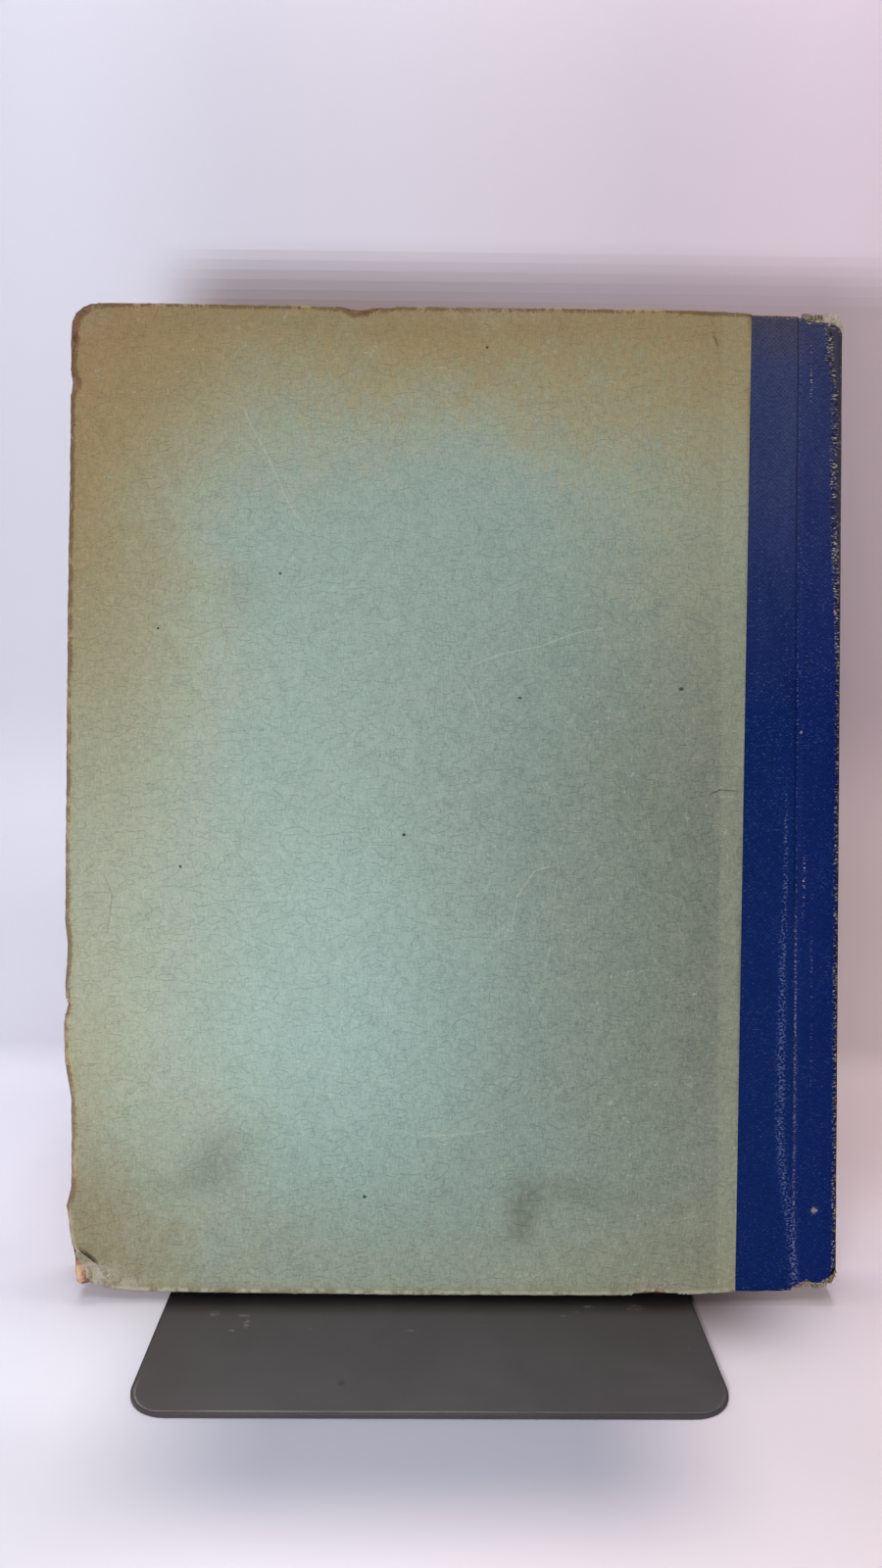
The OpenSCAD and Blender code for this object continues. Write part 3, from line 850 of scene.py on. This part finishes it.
def cover_sheet(name, place, stretches, strokes, stains, abraded, seed, flip):
    """The cover paper as one sheet: its worn face, the rolled edges and the turned-in margins."""
    loop = []
    spans = []
    for k, (kind, points) in enumerate(stretches):
        if kind == "fold":
            line = resample(points, 1.1, 0.12, seed + k)
            spans.append((len(loop), line))
            loop += offset(line, False, -EDGE_R)
        else:
            loop += resample(points, 0.45, 0.38, seed + k)
    flat, faces, ridge, went = triangulate(loop, 2.8, [s for s in strokes if inside(s[0], loop).all()])
    sheet = Sheet()
    sheet.faces = faces
    for (x, z), edge, rub_and_crease_shade in zip(flat, nearest(flat, loop), ridge):
        cockle = 0.10 * wander(x, z, seed, 42) + 0.045 * wander(x, z, seed + 2, 13)
        lift = (cockle + 0.05) * ramp(edge, 0, 6) + 0.05 * ramp(x, 70.2, 71.6) + 0.06 * abs(rub_and_crease_shade)
        sheet.add(
            place(x, -lift, z), lay=(x, z, 0), edge=edge, rub_and_crease_shade=rub_and_crease_shade,
            stain=min(blots(x, z, stains), 1), abraded=min(blots(x, z, abraded), 1)
        )
    plain = {"rub_and_crease_shade": 0, "stain": 0, "abraded": 0}
    for start, line in spans:
        rows = [went[start:start + len(line)]]
        for out, c in EDGE_ROLL:
            rows.append(sheet.next(len(line)))
            rim = 0.5 * max(out / EDGE_R - 0.9, 0) + abs(c - 1.2) * 0.4
            for (x, z), (fold_x, fold_z) in zip(loop[start:], line):
                nx, nz = fold_x - x, fold_z - z
                px, pz = x + nx * out / EDGE_R, z + nz * out / EDGE_R
                lay = (px + nx * c / EDGE_R, pz + nz * c / EDGE_R, c)
                sheet.add(place(px, c, pz), lay=lay, edge=rim, **plain)
        for q in (5, 10, TURN_IN):
            rows.append(sheet.next(len(line)))
            for x, z in line:
                px, pz = max(x, FORE_X + q), min(max(z, q), BOARD_H - q)
                lay = (px + 3, pz + 3, COVER_T + q)
                sheet.add(place(px, COVER_T, pz), lay=lay, edge=min(q, TURN_IN - q) + 0.4, **plain)
        sheet.bridge(rows)
    return sheet.build(name, flip, PAPER_T - 0.02, 50)


def board_slab(name, place, outline, fresh, flip):
    """The strawboard: a slab with crushed edges, thinner where the cloth lies on it."""
    crush = 0.35
    line = resample(outline + outline[:1], 1.4, 0.10, 2)[:-1]
    loop = offset(line, True, -crush)
    flat, faces, _, went = triangulate(loop, 7)

    def faces_at(x):
        joint = ramp(x, 71, 75.5)
        return lerp(0.28, 0.72, joint), lerp(2.12, 1.68, joint)

    sheet = Sheet()

    def add(x, c, z, lay_c):
        sheet.add(place(x, c, z), lay=(x, z, lay_c), fresh=blots(x, z, fresh))

    for (x, z), near in zip(flat, nearest(flat, line)):
        add(x, faces_at(x)[0] + 0.22 * ramp(near, 3, 0.3) + 0.12 * wander(x, z, 4, 1.6), z, 0)
    for x, z in flat:
        add(x, faces_at(x)[1], z, COVER_T)
    count = len(flat)
    sheet.faces = faces + [tuple(i + count for i in reversed(face)) for face in faces]
    rows = [went]
    for out, share in ((0.12, 0.06), (crush, 0.2), (crush, 0.8), (0.12, 0.925)):
        rows.append(sheet.next(len(loop)))
        for (x, z), (line_x, line_z) in zip(loop, line):
            px, pz = lerp(x, line_x, out / crush), lerp(z, line_z, out / crush)
            c = lerp(*faces_at(px), share)
            add(px, c, pz, c)
    rows.append([i + count for i in went])
    sheet.bridge(rows, True)
    return sheet.build(name, flip)


# ---- the cloth ----


# The cloth is pulled tighter round the shoulder than the stiff shapes under it.
CLOTH_BEND_R = 2.6


def cloth_path():
    """The cloth's outer face in plan from the board to the middle of the spine.

    Each station is its place on the flat cloth, x, depth c and its outward normal in x and c.
    """
    flat = [(x, 0) for x in (76, 77.5, 79, 82, 85, 88, 89.5, 90.3, 90.8, 91.1)]
    flat += [(91.3 + 0.25 * k, 0.30 * math.sin(math.pi * (k + 0.5) / 7)) for k in range(7)]
    flat += [(x, -0.06 * math.sin(math.pi * (x - 93) / 7)) for x in (93.2, 94, 95.5, 97, 98.5)]
    stations = [(x, x, PAPER_T + dip, 0, -1) for x, dip in flat]
    r = CLOTH_BEND_R
    bend_x = SPINE_X - r
    bend_c = PAPER_T + r
    for k, (sine, cosine) in enumerate(quarter(8, 0, 8)):
        u = bend_x + r * math.pi / 2 * k / 8
        stations.append((u, bend_x + r * sine, bend_c - r * cosine, sine, -cosine))
    for c in (3.6, 4.6, 5.8, 7, 8.6, BOOK_T / 2):
        stations.append((bend_x + r * math.pi / 2 + c - bend_c, SPINE_X, c, 1, 0))
    return stations


CLOTH_PATH = cloth_path()
# The cloth's worn head and tail, by place on the flat cloth.
BACK_CLOTH_TOP = (
    (76, 262.7), (90.5, 262.4), (91.6, 262.3), (93, 262.6), (95.5, 262.3), (98, 262.2), (100, 262),
    (101.4, 261.6), (102.8, 260.4), (104.6, 259.4), (105.6, 261), (108, 263.8), (112.5, 264.5),
)
BACK_CLOTH_TAIL = (
    (76, 0.2), (88, 0.3), (90.2, 0.5), (92, 1.4), (93.6, 1.9), (95.4, 2.6), (97.6, 1.9), (99.6, 1.9),
    (101, 2.9), (102.4, 4.2), (103.6, 5.4), (105, 5), (106, 2.6), (108, 0.4), (112.5, -0.2),
)
FRONT_CLOTH_TOP = (
    (76, 263.8), (90.5, 263.6), (92, 262.9), (96, 262.7), (100, 262.3), (102.6, 260.9), (104.4, 260.2),
    (105.6, 261.6), (108, 263.8), (112.5, 264.5),
)
FRONT_CLOTH_TAIL = (
    (76, 0.2), (90.4, 0.4), (92, 1.2), (96, 1.4), (100, 2.2), (102.6, 3.9), (105, 3.2), (108, 0.4),
    (112.5, -0.2),
)
# A hole in the back half of the cloth, not cut but painted as a near-black spot of shade: u, z, half
# width, half height and strength.
BACK_CLOTH_MARKS = ((102.6, 6, 0.7, 0.9, -1.4),)


def cloth_half(name, place, top_edge, tail_edge, marks, seed, flip):
    """Half of the cloth, from under the cover paper to mid-spine, folded in at head and tail."""
    bulge = 0.42
    roll_steps = 5
    shares = [0, 0.004, 0.01, 0.02, 0.04] + [k / 60 for k in range(4, 57)]
    shares += [0.96, 0.98, 0.99, 0.996, 1]
    # each row: which way it folds in, how far round the fold, and how far along the turn-in
    head = [(1, math.pi * k / roll_steps, 0) for k in range(1, roll_steps + 1)]
    head += [(1, math.pi, 0.45), (1, math.pi, 1)]
    order = [(-1, a, leg) for _, a, leg in reversed(head)] + [(0, t, None) for t in shares] + head
    sheet = Sheet()
    for way, turn, leg in order:
        for u, x, c, nx, nc in CLOTH_PATH:
            worn = ramp(u, 90.8, 92.2)
            tattered = ramp(u, 92, 94) * ramp(u, 106.5, 104)
            high = along(top_edge, u) + (0.22 + 0.5 * tattered) * wander(u, seed, 1, 0.8)
            low = along(tail_edge, u) + (0.22 + 0.4 * tattered) * wander(u, seed, 7, 0.8)
            board_leg = 1 - ramp(u, 91, 92.6)
            if way:
                deep = lerp(1.12, COVER_T - PAPER_T - PAPER_T, board_leg)
                inward = deep * (1 - math.cos(turn)) / 2
                swing = bulge * math.sin(turn)
                reach = leg * lerp(7, TURN_IN - 2, board_leg)
                fold = high - bulge if way > 0 else low + bulge
                z = fold + way * (swing - reach)
                flat_z = fold + way * (turn * 0.4 + reach)
                rim = 4 if leg else 0
            else:
                inward = 0
                z = flat_z = lerp(low + bulge, high - bulge, turn)
                rim = min(high - z, z - low)
            out = 0.05 * wander(u, z, seed + 3, 9) * worn - inward
            strength = lerp(0.42, 1, tattered + 0.25 * worn * (1 - tattered))
            reach = 1.5 + 1.2 * tattered if z > BOARD_H / 2 else 0.8 + 0.5 * tattered
            sheet.add(
                place(x + nx * out, c + nc * out, z), lay=(u, flat_z, inward),
                fray=strength * ramp(rim, reach, 0), mark=0 if inward else blots(u, z, marks)
            )
    sheet.grid(len(CLOTH_PATH))
    return sheet.build(name, flip, CLOTH_T - 0.12, 60)


def fibres(name, roots, seed):
    """Loose threads as thin bent tubes. A root is a place, a direction, a length and a tint."""
    chance = random.Random(seed)
    sheet = Sheet()
    steps = 5
    for place, direction, length, tint in roots:
        p = Vector(place)
        d = Vector(direction).normalized()
        curl = Vector([chance.uniform(-1, 1) for _ in range(3)])
        radius = chance.uniform(0.04, 0.09)
        rings = []
        for k in range(steps):
            side = d.orthogonal().normalized()
            other = d.cross(side)
            width = radius * (1 if k < steps - 1 else 0.4)
            rings.append(sheet.next(4))
            for m in range(4):
                a = math.pi / 2 * m
                point = tuple(p + side * math.cos(a) * width + other * math.sin(a) * width)
                sheet.add(point, lay=point, tint=tint)
            p = p + d * (length / (steps - 1))
            d = (d + curl * 0.28).normalized()
        sheet.faces.append(tuple(reversed(rings[0])))
        for low, high in zip(rings, rings[1:]):
            for m in range(4):
                n = (m + 1) % 4
                sheet.faces.append((low[m], low[n], high[n], high[m]))
        sheet.faces.append(tuple(rings[-1]))
    return sheet.build(name)


# ---- leaves ----


def add_leaf(sheet, path, chance, thick):
    """Adds one thin leaf that follows a path of (x, depth) in plan, its cut edges uneven."""
    low = OVERHANG + chance.uniform(0, 0.35)
    high = BOARD_H - OVERHANG - chance.uniform(0, 0.35)
    rows = [lerp(low, high, k / 12) for k in range(13)]
    trim = chance.uniform(0, 0.4)
    leaf = Sheet()
    run = 0
    before = path[0]
    for x, depth in path:
        run += math.hypot(x - before[0], depth - before[1])
        before = (x, depth)
        for z in rows:
            px = x
            if x <= LEAF_X + 0.01:
                px = x + trim + 0.12 * wander(z, run, trim * 40, 30)
            rim = min(z - rows[0], rows[-1] - z, max(px - LEAF_X - trim, 0))
            leaf.add(front(px, depth, z), lay=(px, z, depth), rim=rim)
    leaf.grid(len(rows))
    leaf.thicken(thick)
    sheet.join(leaf)


LEAF_STATIONS = (LEAF_X, -98, -90, -60, -20, 20, 60, 82, 88)
GUTTER = (89.6, 90.2, 90.8, 91.4, 92, 92.6, 93.2, 93.8, 94.4, 95)
SHEET_GAP = 0.035


def section_leaves(i, material):
    """A sewn section: four folded sheets, one inside the other."""
    name = f"section_{i:02d}"
    chance = random.Random(100 + i)
    sheet = Sheet()
    middle = BLOCK_C + (i - 1) * SECTION_T + SECTION_T / 2
    end = FOLD_X - SECTION_T / 2
    # the outermost leaves of the first and last sections turn with the covers, all but their folds
    turned_first = TURNED if i == 1 else 0
    turned_last = 2 * TURNED if i == SECTIONS else 0
    for k in range(4):
        radius = SECTION_T / 2 - (k + 0.5) * LEAF_T
        halves = []
        for depth, turned in (
            (middle - radius, k < turned_first or 7 - k < turned_last),
            (middle + radius, k < turned_last),
        ):
            stations = (95.3, 97, end) if turned else LEAF_STATIONS + (94, end)
            halves.append([(x, depth) for x in stations])
        arc = []
        for m in range(1, 6):
            a = math.pi * m / 6
            arc.append((end + radius * math.sin(a), middle - radius * math.cos(a)))
        add_leaf(sheet, halves[0] + arc + halves[1][::-1], chance, LEAF_T - SHEET_GAP)
    finish_piece(sheet.build(name + "_leaves"), material, [name], "text_block")


def turning_sheets(name, node, depths, material, seed):
    """Leaves that turn together, drawn on through the gutter."""
    chance = random.Random(seed)
    slot, thick = ("leaves", LEAF_T - SHEET_GAP) if len(depths) > 1 else ("endpaper", ENDPAPER_T - 0.04)
    sheet = Sheet()
    for depth in depths:
        add_leaf(sheet, [(x, depth) for x in LEAF_STATIONS + GUTTER], chance, thick)
    obj = sheet.build(name)
    finish_piece(obj, material, [node])
    start, end = (metres(front(x, depths[0], BOARD_H / 2)) for x in (90.6, 94.2))
    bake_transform(obj)


# ---- the book support ----


def support_sheet():
    """The foot, fold and upright as one steel sheet with rounded corners and softened edges."""
    plate_y = FOOT_FRONT + FOOT_D - SHEET_T
    flat_end = plate_y - FOLD_R
    foot_start = FOOT_FRONT + CORNER_R
    top = SUPPORT_H - CORNER_R
    # each station: y, z and how much its corners cut off each side
    stations = [(foot_start - CORNER_R * c, SHEET_T, CORNER_R * (1 - s)) for s, c in quarter(10, 0, 10)]
    stations += [(lerp(foot_start, flat_end, k / 30), SHEET_T, 0) for k in range(1, 31)]
    stations += [(flat_end + FOLD_R * s, SHEET_T + FOLD_R * (1 - c), 0) for s, c in quarter(8, 1, 7)]
    stations += [(plate_y, lerp(SHEET_T + FOLD_R, top, k / 20), 0) for k in range(21)]
    stations += [(plate_y, top + CORNER_R * s, CORNER_R * (1 - c)) for s, c in quarter(10, 1, 10)]
    runs = [0]
    for (y0, z0, _), (y1, z1, _) in zip(stations, stations[1:]):
        runs.append(runs[-1] + math.hypot(y1 - y0, z1 - z0))
    columns = 57
    sheet = Sheet()
    for (y, z, cut), run in zip(stations, runs):
        half = SUPPORT_W / 2 - cut
        for j in range(columns):
            t = 2 * j / (columns - 1) - 1
            t = math.sin(t * math.pi / 2) * 0.45 + t * 0.55
            x = SUPPORT_X + half * t
            sheet.add((x, y, z), lay=(x, run, 0), edge=min(half - abs(half * t), run, runs[-1] - run))
    sheet.grid(columns)
    obj = sheet.build("support_sheet", False, SHEET_T, 50)
    bevel = obj.modifiers.new("softened_edges", "BEVEL")
    bevel.width = 0.28 * MM
    bevel.segments = 2
    bevel.limit_method = "ANGLE"
    bevel.angle_limit = math.radians(60)
    finish_piece(obj, paint_material(), ["book_support"], "support")


support_sheet()

# ---- the two covers ----

strawboard = board_material("strawboard")
green = cover_paper_material("cover_paper", 1, BACK_SPECKS)
front_green = cover_paper_material("cover_paper_front", 40)
piece = cover_sheet(
    "back_cover_paper", back, BACK_PAPER, BACK_STROKES, BACK_STAINS, BACK_ABRADED, 3, False
)
finish_piece(piece, green, ["back_paper"], "back_cover")
piece = cover_sheet("front_cover_paper", front, FRONT_PAPER, (), FRONT_STAINS, FRONT_ABRADED, 23, True)
finish_piece(piece, front_green, ["front_paper"], "front_cover")
piece = board_slab("back_strawboard", back, BACK_BOARD, BACK_FRESH, False)
finish_piece(piece, strawboard, ["back_board"], "back_cover")
piece = board_slab("front_strawboard", front, FRONT_BOARD, (), True)
finish_piece(piece, strawboard, ["front_board"], "front_cover")

# each cloth half was cut as an oblong with 13 mm to turn in at head and tail
CLOTH_CUT = ((CLOTH_PATH[-1][0] - CLOTH_PATH[0][0]) * MM, (BOARD_H + 2 * (TURN_IN - 2)) * MM)
for side, place, look, look_seed, top_edge, tail_edge, marks, seed in (
    ("back", back, "book_cloth", 2, BACK_CLOTH_TOP, BACK_CLOTH_TAIL, BACK_CLOTH_MARKS, 3),
    ("front", front, "book_cloth_front", 31, FRONT_CLOTH_TOP, FRONT_CLOTH_TAIL, (), 13),
):
    cloth = cloth_half(f"{side}_book_cloth", place, top_edge, tail_edge, marks, seed, side == "front")
    finish_piece(cloth, cloth_material(look, look_seed), [f"{side}_cloth", "spine_cloth"])
    start, end = (metres(place(x, PAPER_T, BOARD_H / 2)) for x in (90.9, 93.3))
    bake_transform(cloth)

# ---- loose ends and the corner flap ----


def cloth_place(place, u, out, z):
    """The point `out` above the cloth's outer face at a place on the flat cloth."""
    first, last = next(pair for pair in zip(CLOTH_PATH, CLOTH_PATH[1:]) if u <= pair[1][0])
    t = (u - first[0]) / (last[0] - first[0])
    _, x, c, nx, nc = (lerp(a, b, t) for a, b in zip(first, last))
    return Vector(place(x + nx * out, c + nc * out, z))


def frayed_ends(name, place, top_edge, tail_edge, first, last, pale_from, count, seed):
    """Cotton ends that stand out of the cloth at the head and the tail of the spine."""
    chance = random.Random(seed)
    roots = []
    for k in range(count):
        u = chance.uniform(first, last)
        head = k % 4 != 0
        pale = head and u > pale_from
        if head:
            z = along(top_edge, u) - chance.uniform(0.1, 1.4 if pale else 0.7)
        else:
            z = along(tail_edge, u) + chance.uniform(0.1, 0.8)
        root = cloth_place(place, u, 0.04, z)
        out = (cloth_place(place, u, 1.04, z) - root) * chance.uniform(0.05, 0.3)
        rise = Vector((chance.uniform(-0.5, 0.35), 0, 1 if head else -0.45))
        length = chance.uniform(0.7, 1.9) if pale else chance.uniform(0.5, 1.1)
        tint = chance.uniform(0, 0.6) if pale else chance.uniform(0.4, 1)
        roots.append((root, rise + out, length, tint))
    finish_piece(fibres(name, roots, seed), loose_thread, (), "text_block")


loose_thread = thread_material()
frayed_ends("back_spine_frays", back, BACK_CLOTH_TOP, BACK_CLOTH_TAIL, 92.4, 104.4, 98, 560, 21)
frayed_ends("front_spine_frays", front, FRONT_CLOTH_TOP, FRONT_CLOTH_TAIL, 98, 108, 101, 120, 22)


def corner_flap():
    """A tongue of torn cover paper that stands off the board at the lower fore corner."""
    hinge = ((-100.2, 9.9), (-99.4, 8.3), (-98.2, 6.3))
    free = ((-99.4, 11.2), (-97, 9.5), (-94, 7))
    steps, columns = 6, 9
    sheet = Sheet()
    for i in range(steps + 1):
        t = i / steps
        for j in range(columns):
            v = j / (columns - 1)
            half = int(v >= 0.5)
            ends = []
            for line in (hinge, free):
                ends.append([lerp(a, b, 2 * v - half) for a, b in zip(line[half], line[half + 1])])
            x, z = (lerp(a, b, t) for a, b in zip(*ends))
            lift = 0.12 + 1.25 * t ** 1.4 * math.sin(math.pi * (0.12 + 0.76 * v))
            edge = 2.6 if 2 <= j <= 6 else 0.6
            sheet.add(back(x, -lift, z), lay=(x, z, 0), edge=edge, abraded=0.75)
    sheet.grid(columns)
    obj = sheet.build("corner_flap", False, PAPER_T - 0.02, 50)
    finish_piece(obj, cover_paper_material("cover_paper_torn", 1), (), "back_cover")


corner_flap()

# ---- leaves and endpapers ----

page = leaf_material("leaves", 3)
endpaper = leaf_material("endpaper", 12, (222, 210, 184), (190, 164, 122))
for i in range(1, SECTIONS + 1):
    section_leaves(i, page)
flyleaf = FLYLEAF_C + ENDPAPER_T / 2
pastedown = PASTEDOWN_C + ENDPAPER_T / 2
turned = [BLOCK_C + (k + 0.5) * LEAF_T for k in range(2 * TURNED)]
from_back = [BOOK_T - depth for depth in turned]
for name, node, depths, body, material, seed in (
    ("front_turning_leaves", "front_leaves", turned[:TURNED], "front_leaves", page, 5),
    ("front_flyleaf_sheet", "front_flyleaf", [flyleaf], "front_flyleaf", endpaper, 6),
    ("back_flyleaf_sheet", "back_flyleaf", [BOOK_T - flyleaf], "back_flyleaf", endpaper, 7),
    ("back_outer_leaves", "back_leaves_outer", from_back[:TURNED], "back_leaves_outer", page, 8),
    ("back_inner_leaves", "back_leaves_inner", from_back[TURNED:], "back_leaves_inner", page, 9),
    ("front_pastedown_sheet", "front_pastedown", [pastedown], "front_cover", endpaper, 10),
    ("back_pastedown_sheet", "back_pastedown", [BOOK_T - pastedown], "back_cover", endpaper, 11),
):
    turning_sheets(name, node, depths, material, seed)

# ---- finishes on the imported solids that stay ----

kraft = plain_fibre_material("kraft_paper", (138, 108, 74), (176, 146, 106), 0.5, (1, 1, 6), 0.03)
tape = woven_material("tape", (190, 180, 152), (228, 220, 196), 0.7, 0.06)
sewing = plain_fibre_material("thread", (196, 184, 154), (232, 224, 200), 0.25, (1, 1, 3), 0.04)
gauze = woven_material("gauze", (150, 142, 118), (226, 220, 200), 1.3, 0.12)
for node, material in (
    ("spine_lining", kraft), ("spine_inlay", kraft), ("sewing_tapes", tape), ("sewing_thread", sewing),
    ("spine_gauze", gauze), ("front_gauze", gauze), ("back_gauze", gauze),
):
    set_material(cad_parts[node], material)


# ---- stage and light ----


BLACK = (0, 0, 0)
HAZE = (0.7, 0.68, 0.71, 1)


def stage_sweep():
    """A pale floor that curves up into a backdrop behind the book."""
    wall_y, radius, width, height = 300, 150, 5000, 1300
    rows = [(-width, 0)]
    for sine, cosine in quarter(12, 0, 12):
        rows.append((wall_y - radius + radius * sine, radius - radius * cosine))
    rows.append((wall_y, height))
    sheet = Sheet()
    for y, z in rows:
        sheet.add((-width, y, z - 0.02))
        sheet.add((width, y, z - 0.02))
    sheet.grid(2)
    obj = sheet.build("backdrop", sharp=80)
    s = Shade("backdrop", 0.1, flat=False)
    cloud = s.noise(300)
    # painted light and shade: bluish to the left, where more light falls, and rosy to the right, in warmer
    # shade
    rosy = s.mix(s.ramp(s.z, 20, 200), (243, 226, 231), (240, 225, 238))
    s.colour = s.mix(s.ramp(s.x + cloud * 120, -240, 240), (232, 234, 249), rosy)
    # painted shadow of the foot on the floor in front of it, and of the book's corner beside the foot on
    # the right
    painted_foot_shadow = s.ramp(s.x, -94, -38) * s.ramp(s.x, 72, 26) * s.ramp(s.y, -100, -62) * s.ramp(s.y, 40, -40)
    s.coat(painted_foot_shadow * 0.79, (150, 154, 172))
    painted_corner_shadow = s.band(s.x, 66, 34) * s.ramp(s.y, -30, 2) * s.ramp(s.z, 10, 5)
    s.coat(painted_corner_shadow * 0.95, (120, 106, 110))
    # painted shadow: the book's shadow above it falls in six steps, and goes on down the right side
    first_step_z, step_height = 375.7, 4.651
    steps = s.math("FLOOR", (first_step_z - s.z) / step_height)
    steps = s.math("MINIMUM", s.most(steps, 0), 6)
    reach = s.most(s.ramp(s.z, 200, 330, 0.4, 1), s.ramp(s.x, 85, 125)) * s.ramp(s.y, -20, 110)
    reach = reach * s.ramp(s.x, -150, -105) * s.ramp(s.x, 340, 240)
    s.coat(steps * reach * s.ramp(s.x, -80, 150, 0.093, 0.053), (127, 80, 20))
    colour = s.colour
    # 1 for rays from the camera, a gloss or a glass, and 0 for rays that carry light
    path = s.add("LightPath").outputs
    seen = s.most(path["Is Camera Ray"], s.most(path["Is Glossy Ray"], path["Is Transmission Ray"]))
    # painted shade and light on the floor as seen: darker in front of the foot and to its left, lighter
    # beside its corners, and dimmer far in front where the low lamps light it most
    painted_floor_shade = s.ramp(s.y, -20, -60, 0, 0.04) + s.ramp(s.y, -85, -300, 0, 0.75)
    painted_floor_shade = painted_floor_shade - s.ramp(abs(s.x), 55, 95, 0, 0.13) * s.ramp(s.y, 30, 0) * s.ramp(s.y, -75, -5)
    painted_floor_shade = painted_floor_shade + s.ramp(s.x, -40, -85, 0, 0.1) * s.ramp(s.y, -30, -80)
    far = s.ramp(s.math("SQRT", s.x * s.x + (s.y - 120) * (s.y - 120)), 300, 560)
    far = s.most(far, s.ramp(s.z, 482, 620))
    near = (1 - far) * (1 - painted_floor_shade)
    # the floor in front throws less light on the book, where the lamps stand low over it
    thrown = (1 - seen) * s.ramp(s.y, -340, -100, 0.3, 1)
    s.light((seen * near + thrown) * 0.72)
    s.finish(0.8, cloud, 0.01)
    # painted light: as seen, the backdrop gets brightness that no lamp gives, less at its top, more to its
    # sides, less on its low curve and more on the floor
    low = s.ramp(s.z, 0.5, 8) * s.ramp(s.z, 110, 35, 0, 0.22)
    painted_light = s.ramp(s.z, 330, 520, 0.38, 0.25) + s.ramp(abs(s.x), 90, 215, 0, 0.2) - low
    painted_light = s.scale(colour, (painted_light + s.ramp(s.z, 8, 0.5, 0, 0.06)) * near)
    painted_light_shader = s.node("BsdfDiffuse", {"Color": s.mix(seen, BLACK, painted_light)})
    # far from the lamps it is seen in the same pale grey as the world
    s.feed(s.shader.inputs["Emission Color"], s.mix(far * seen, BLACK, HAZE))
    s.shader.inputs["Emission Strength"].default_value = 1
    # the back of the sweep is left open, so that it hides nothing from behind
    behind = s.add("NewGeometry").outputs["Backfacing"]
    both = s.node("AddShader", {0: s.shader.outputs[0], 1: painted_light_shader})
    one_sided = s.node("MixShader", {0: behind, 1: both, 2: s.node("BsdfTransparent", {})})
    s.feed(s.nodes["Material Output"].inputs["Surface"], one_sided)
    set_material(obj, s.material)


def add_light(name, place, target, size, power, colour):
    data = bpy.data.lights.new(name, "AREA")
    data.shape = "RECTANGLE"
    data.size, data.size_y = size
    data.energy = power
    data.color = colour
    aim = (Vector(target) - Vector(place)).to_track_quat("-Z", "Y")
    add_to_scene(name, data, Matrix.Translation(place) @ aim.to_matrix().to_4x4())


stage_sweep()
# Lamps are placed in metres and their power is in watts.
WHITE = (1, 0.985, 0.98)
for k in range(5):
    # a row of thin low lamps in front gives the banded shadow on the backdrop
    place = (-0.070, -0.39, 0.0970 + 0.0066 * k)
    add_light(f"strip_{k}", place, (-0.03, 0, 0.13), (0.09, 0.0015), 0.245, WHITE)
add_light("side", (-0.26, -0.20, 0.09), (-0.08, 0, 0.09), (0.16, 0.16), 0.06, WHITE)
add_light("front_top", (-0.05, -0.45, 1), (0, 0, 0.15), (0.5, 0.4), 1.6, WHITE)
add_light("ceiling", (0, 0.13, 0.95), (0, 0.02, 0), (0.5, 0.16), 2.5, (1, 0.965, 0.975))
add_light("behind", (-0.05, 0.2, 0.66), (0, 0.03, 0.12), (0.6, 0.08), 0.6, (1, 0.97, 0.98))


def add_world():
    """A dim world for light, seen as a pale grey past the end of the floor."""
    world = bpy.data.worlds.new("studio")
    world.use_nodes = True
    nodes = world.node_tree.nodes
    colour = nodes.new("ShaderNodeMix")
    colour.data_type = "RGBA"
    colour.inputs[6].default_value = (0.1, 0.095, 0.0975, 1)
    colour.inputs[7].default_value = HAZE
    path = nodes.new("ShaderNodeLightPath")
    world.node_tree.links.new(path.outputs["Is Camera Ray"], colour.inputs[0])
    world.node_tree.links.new(colour.outputs[2], nodes["Background"].inputs["Color"])
    bpy.context.scene.world = world


add_world()
bpy.context.scene.view_settings.view_transform = "Standard"
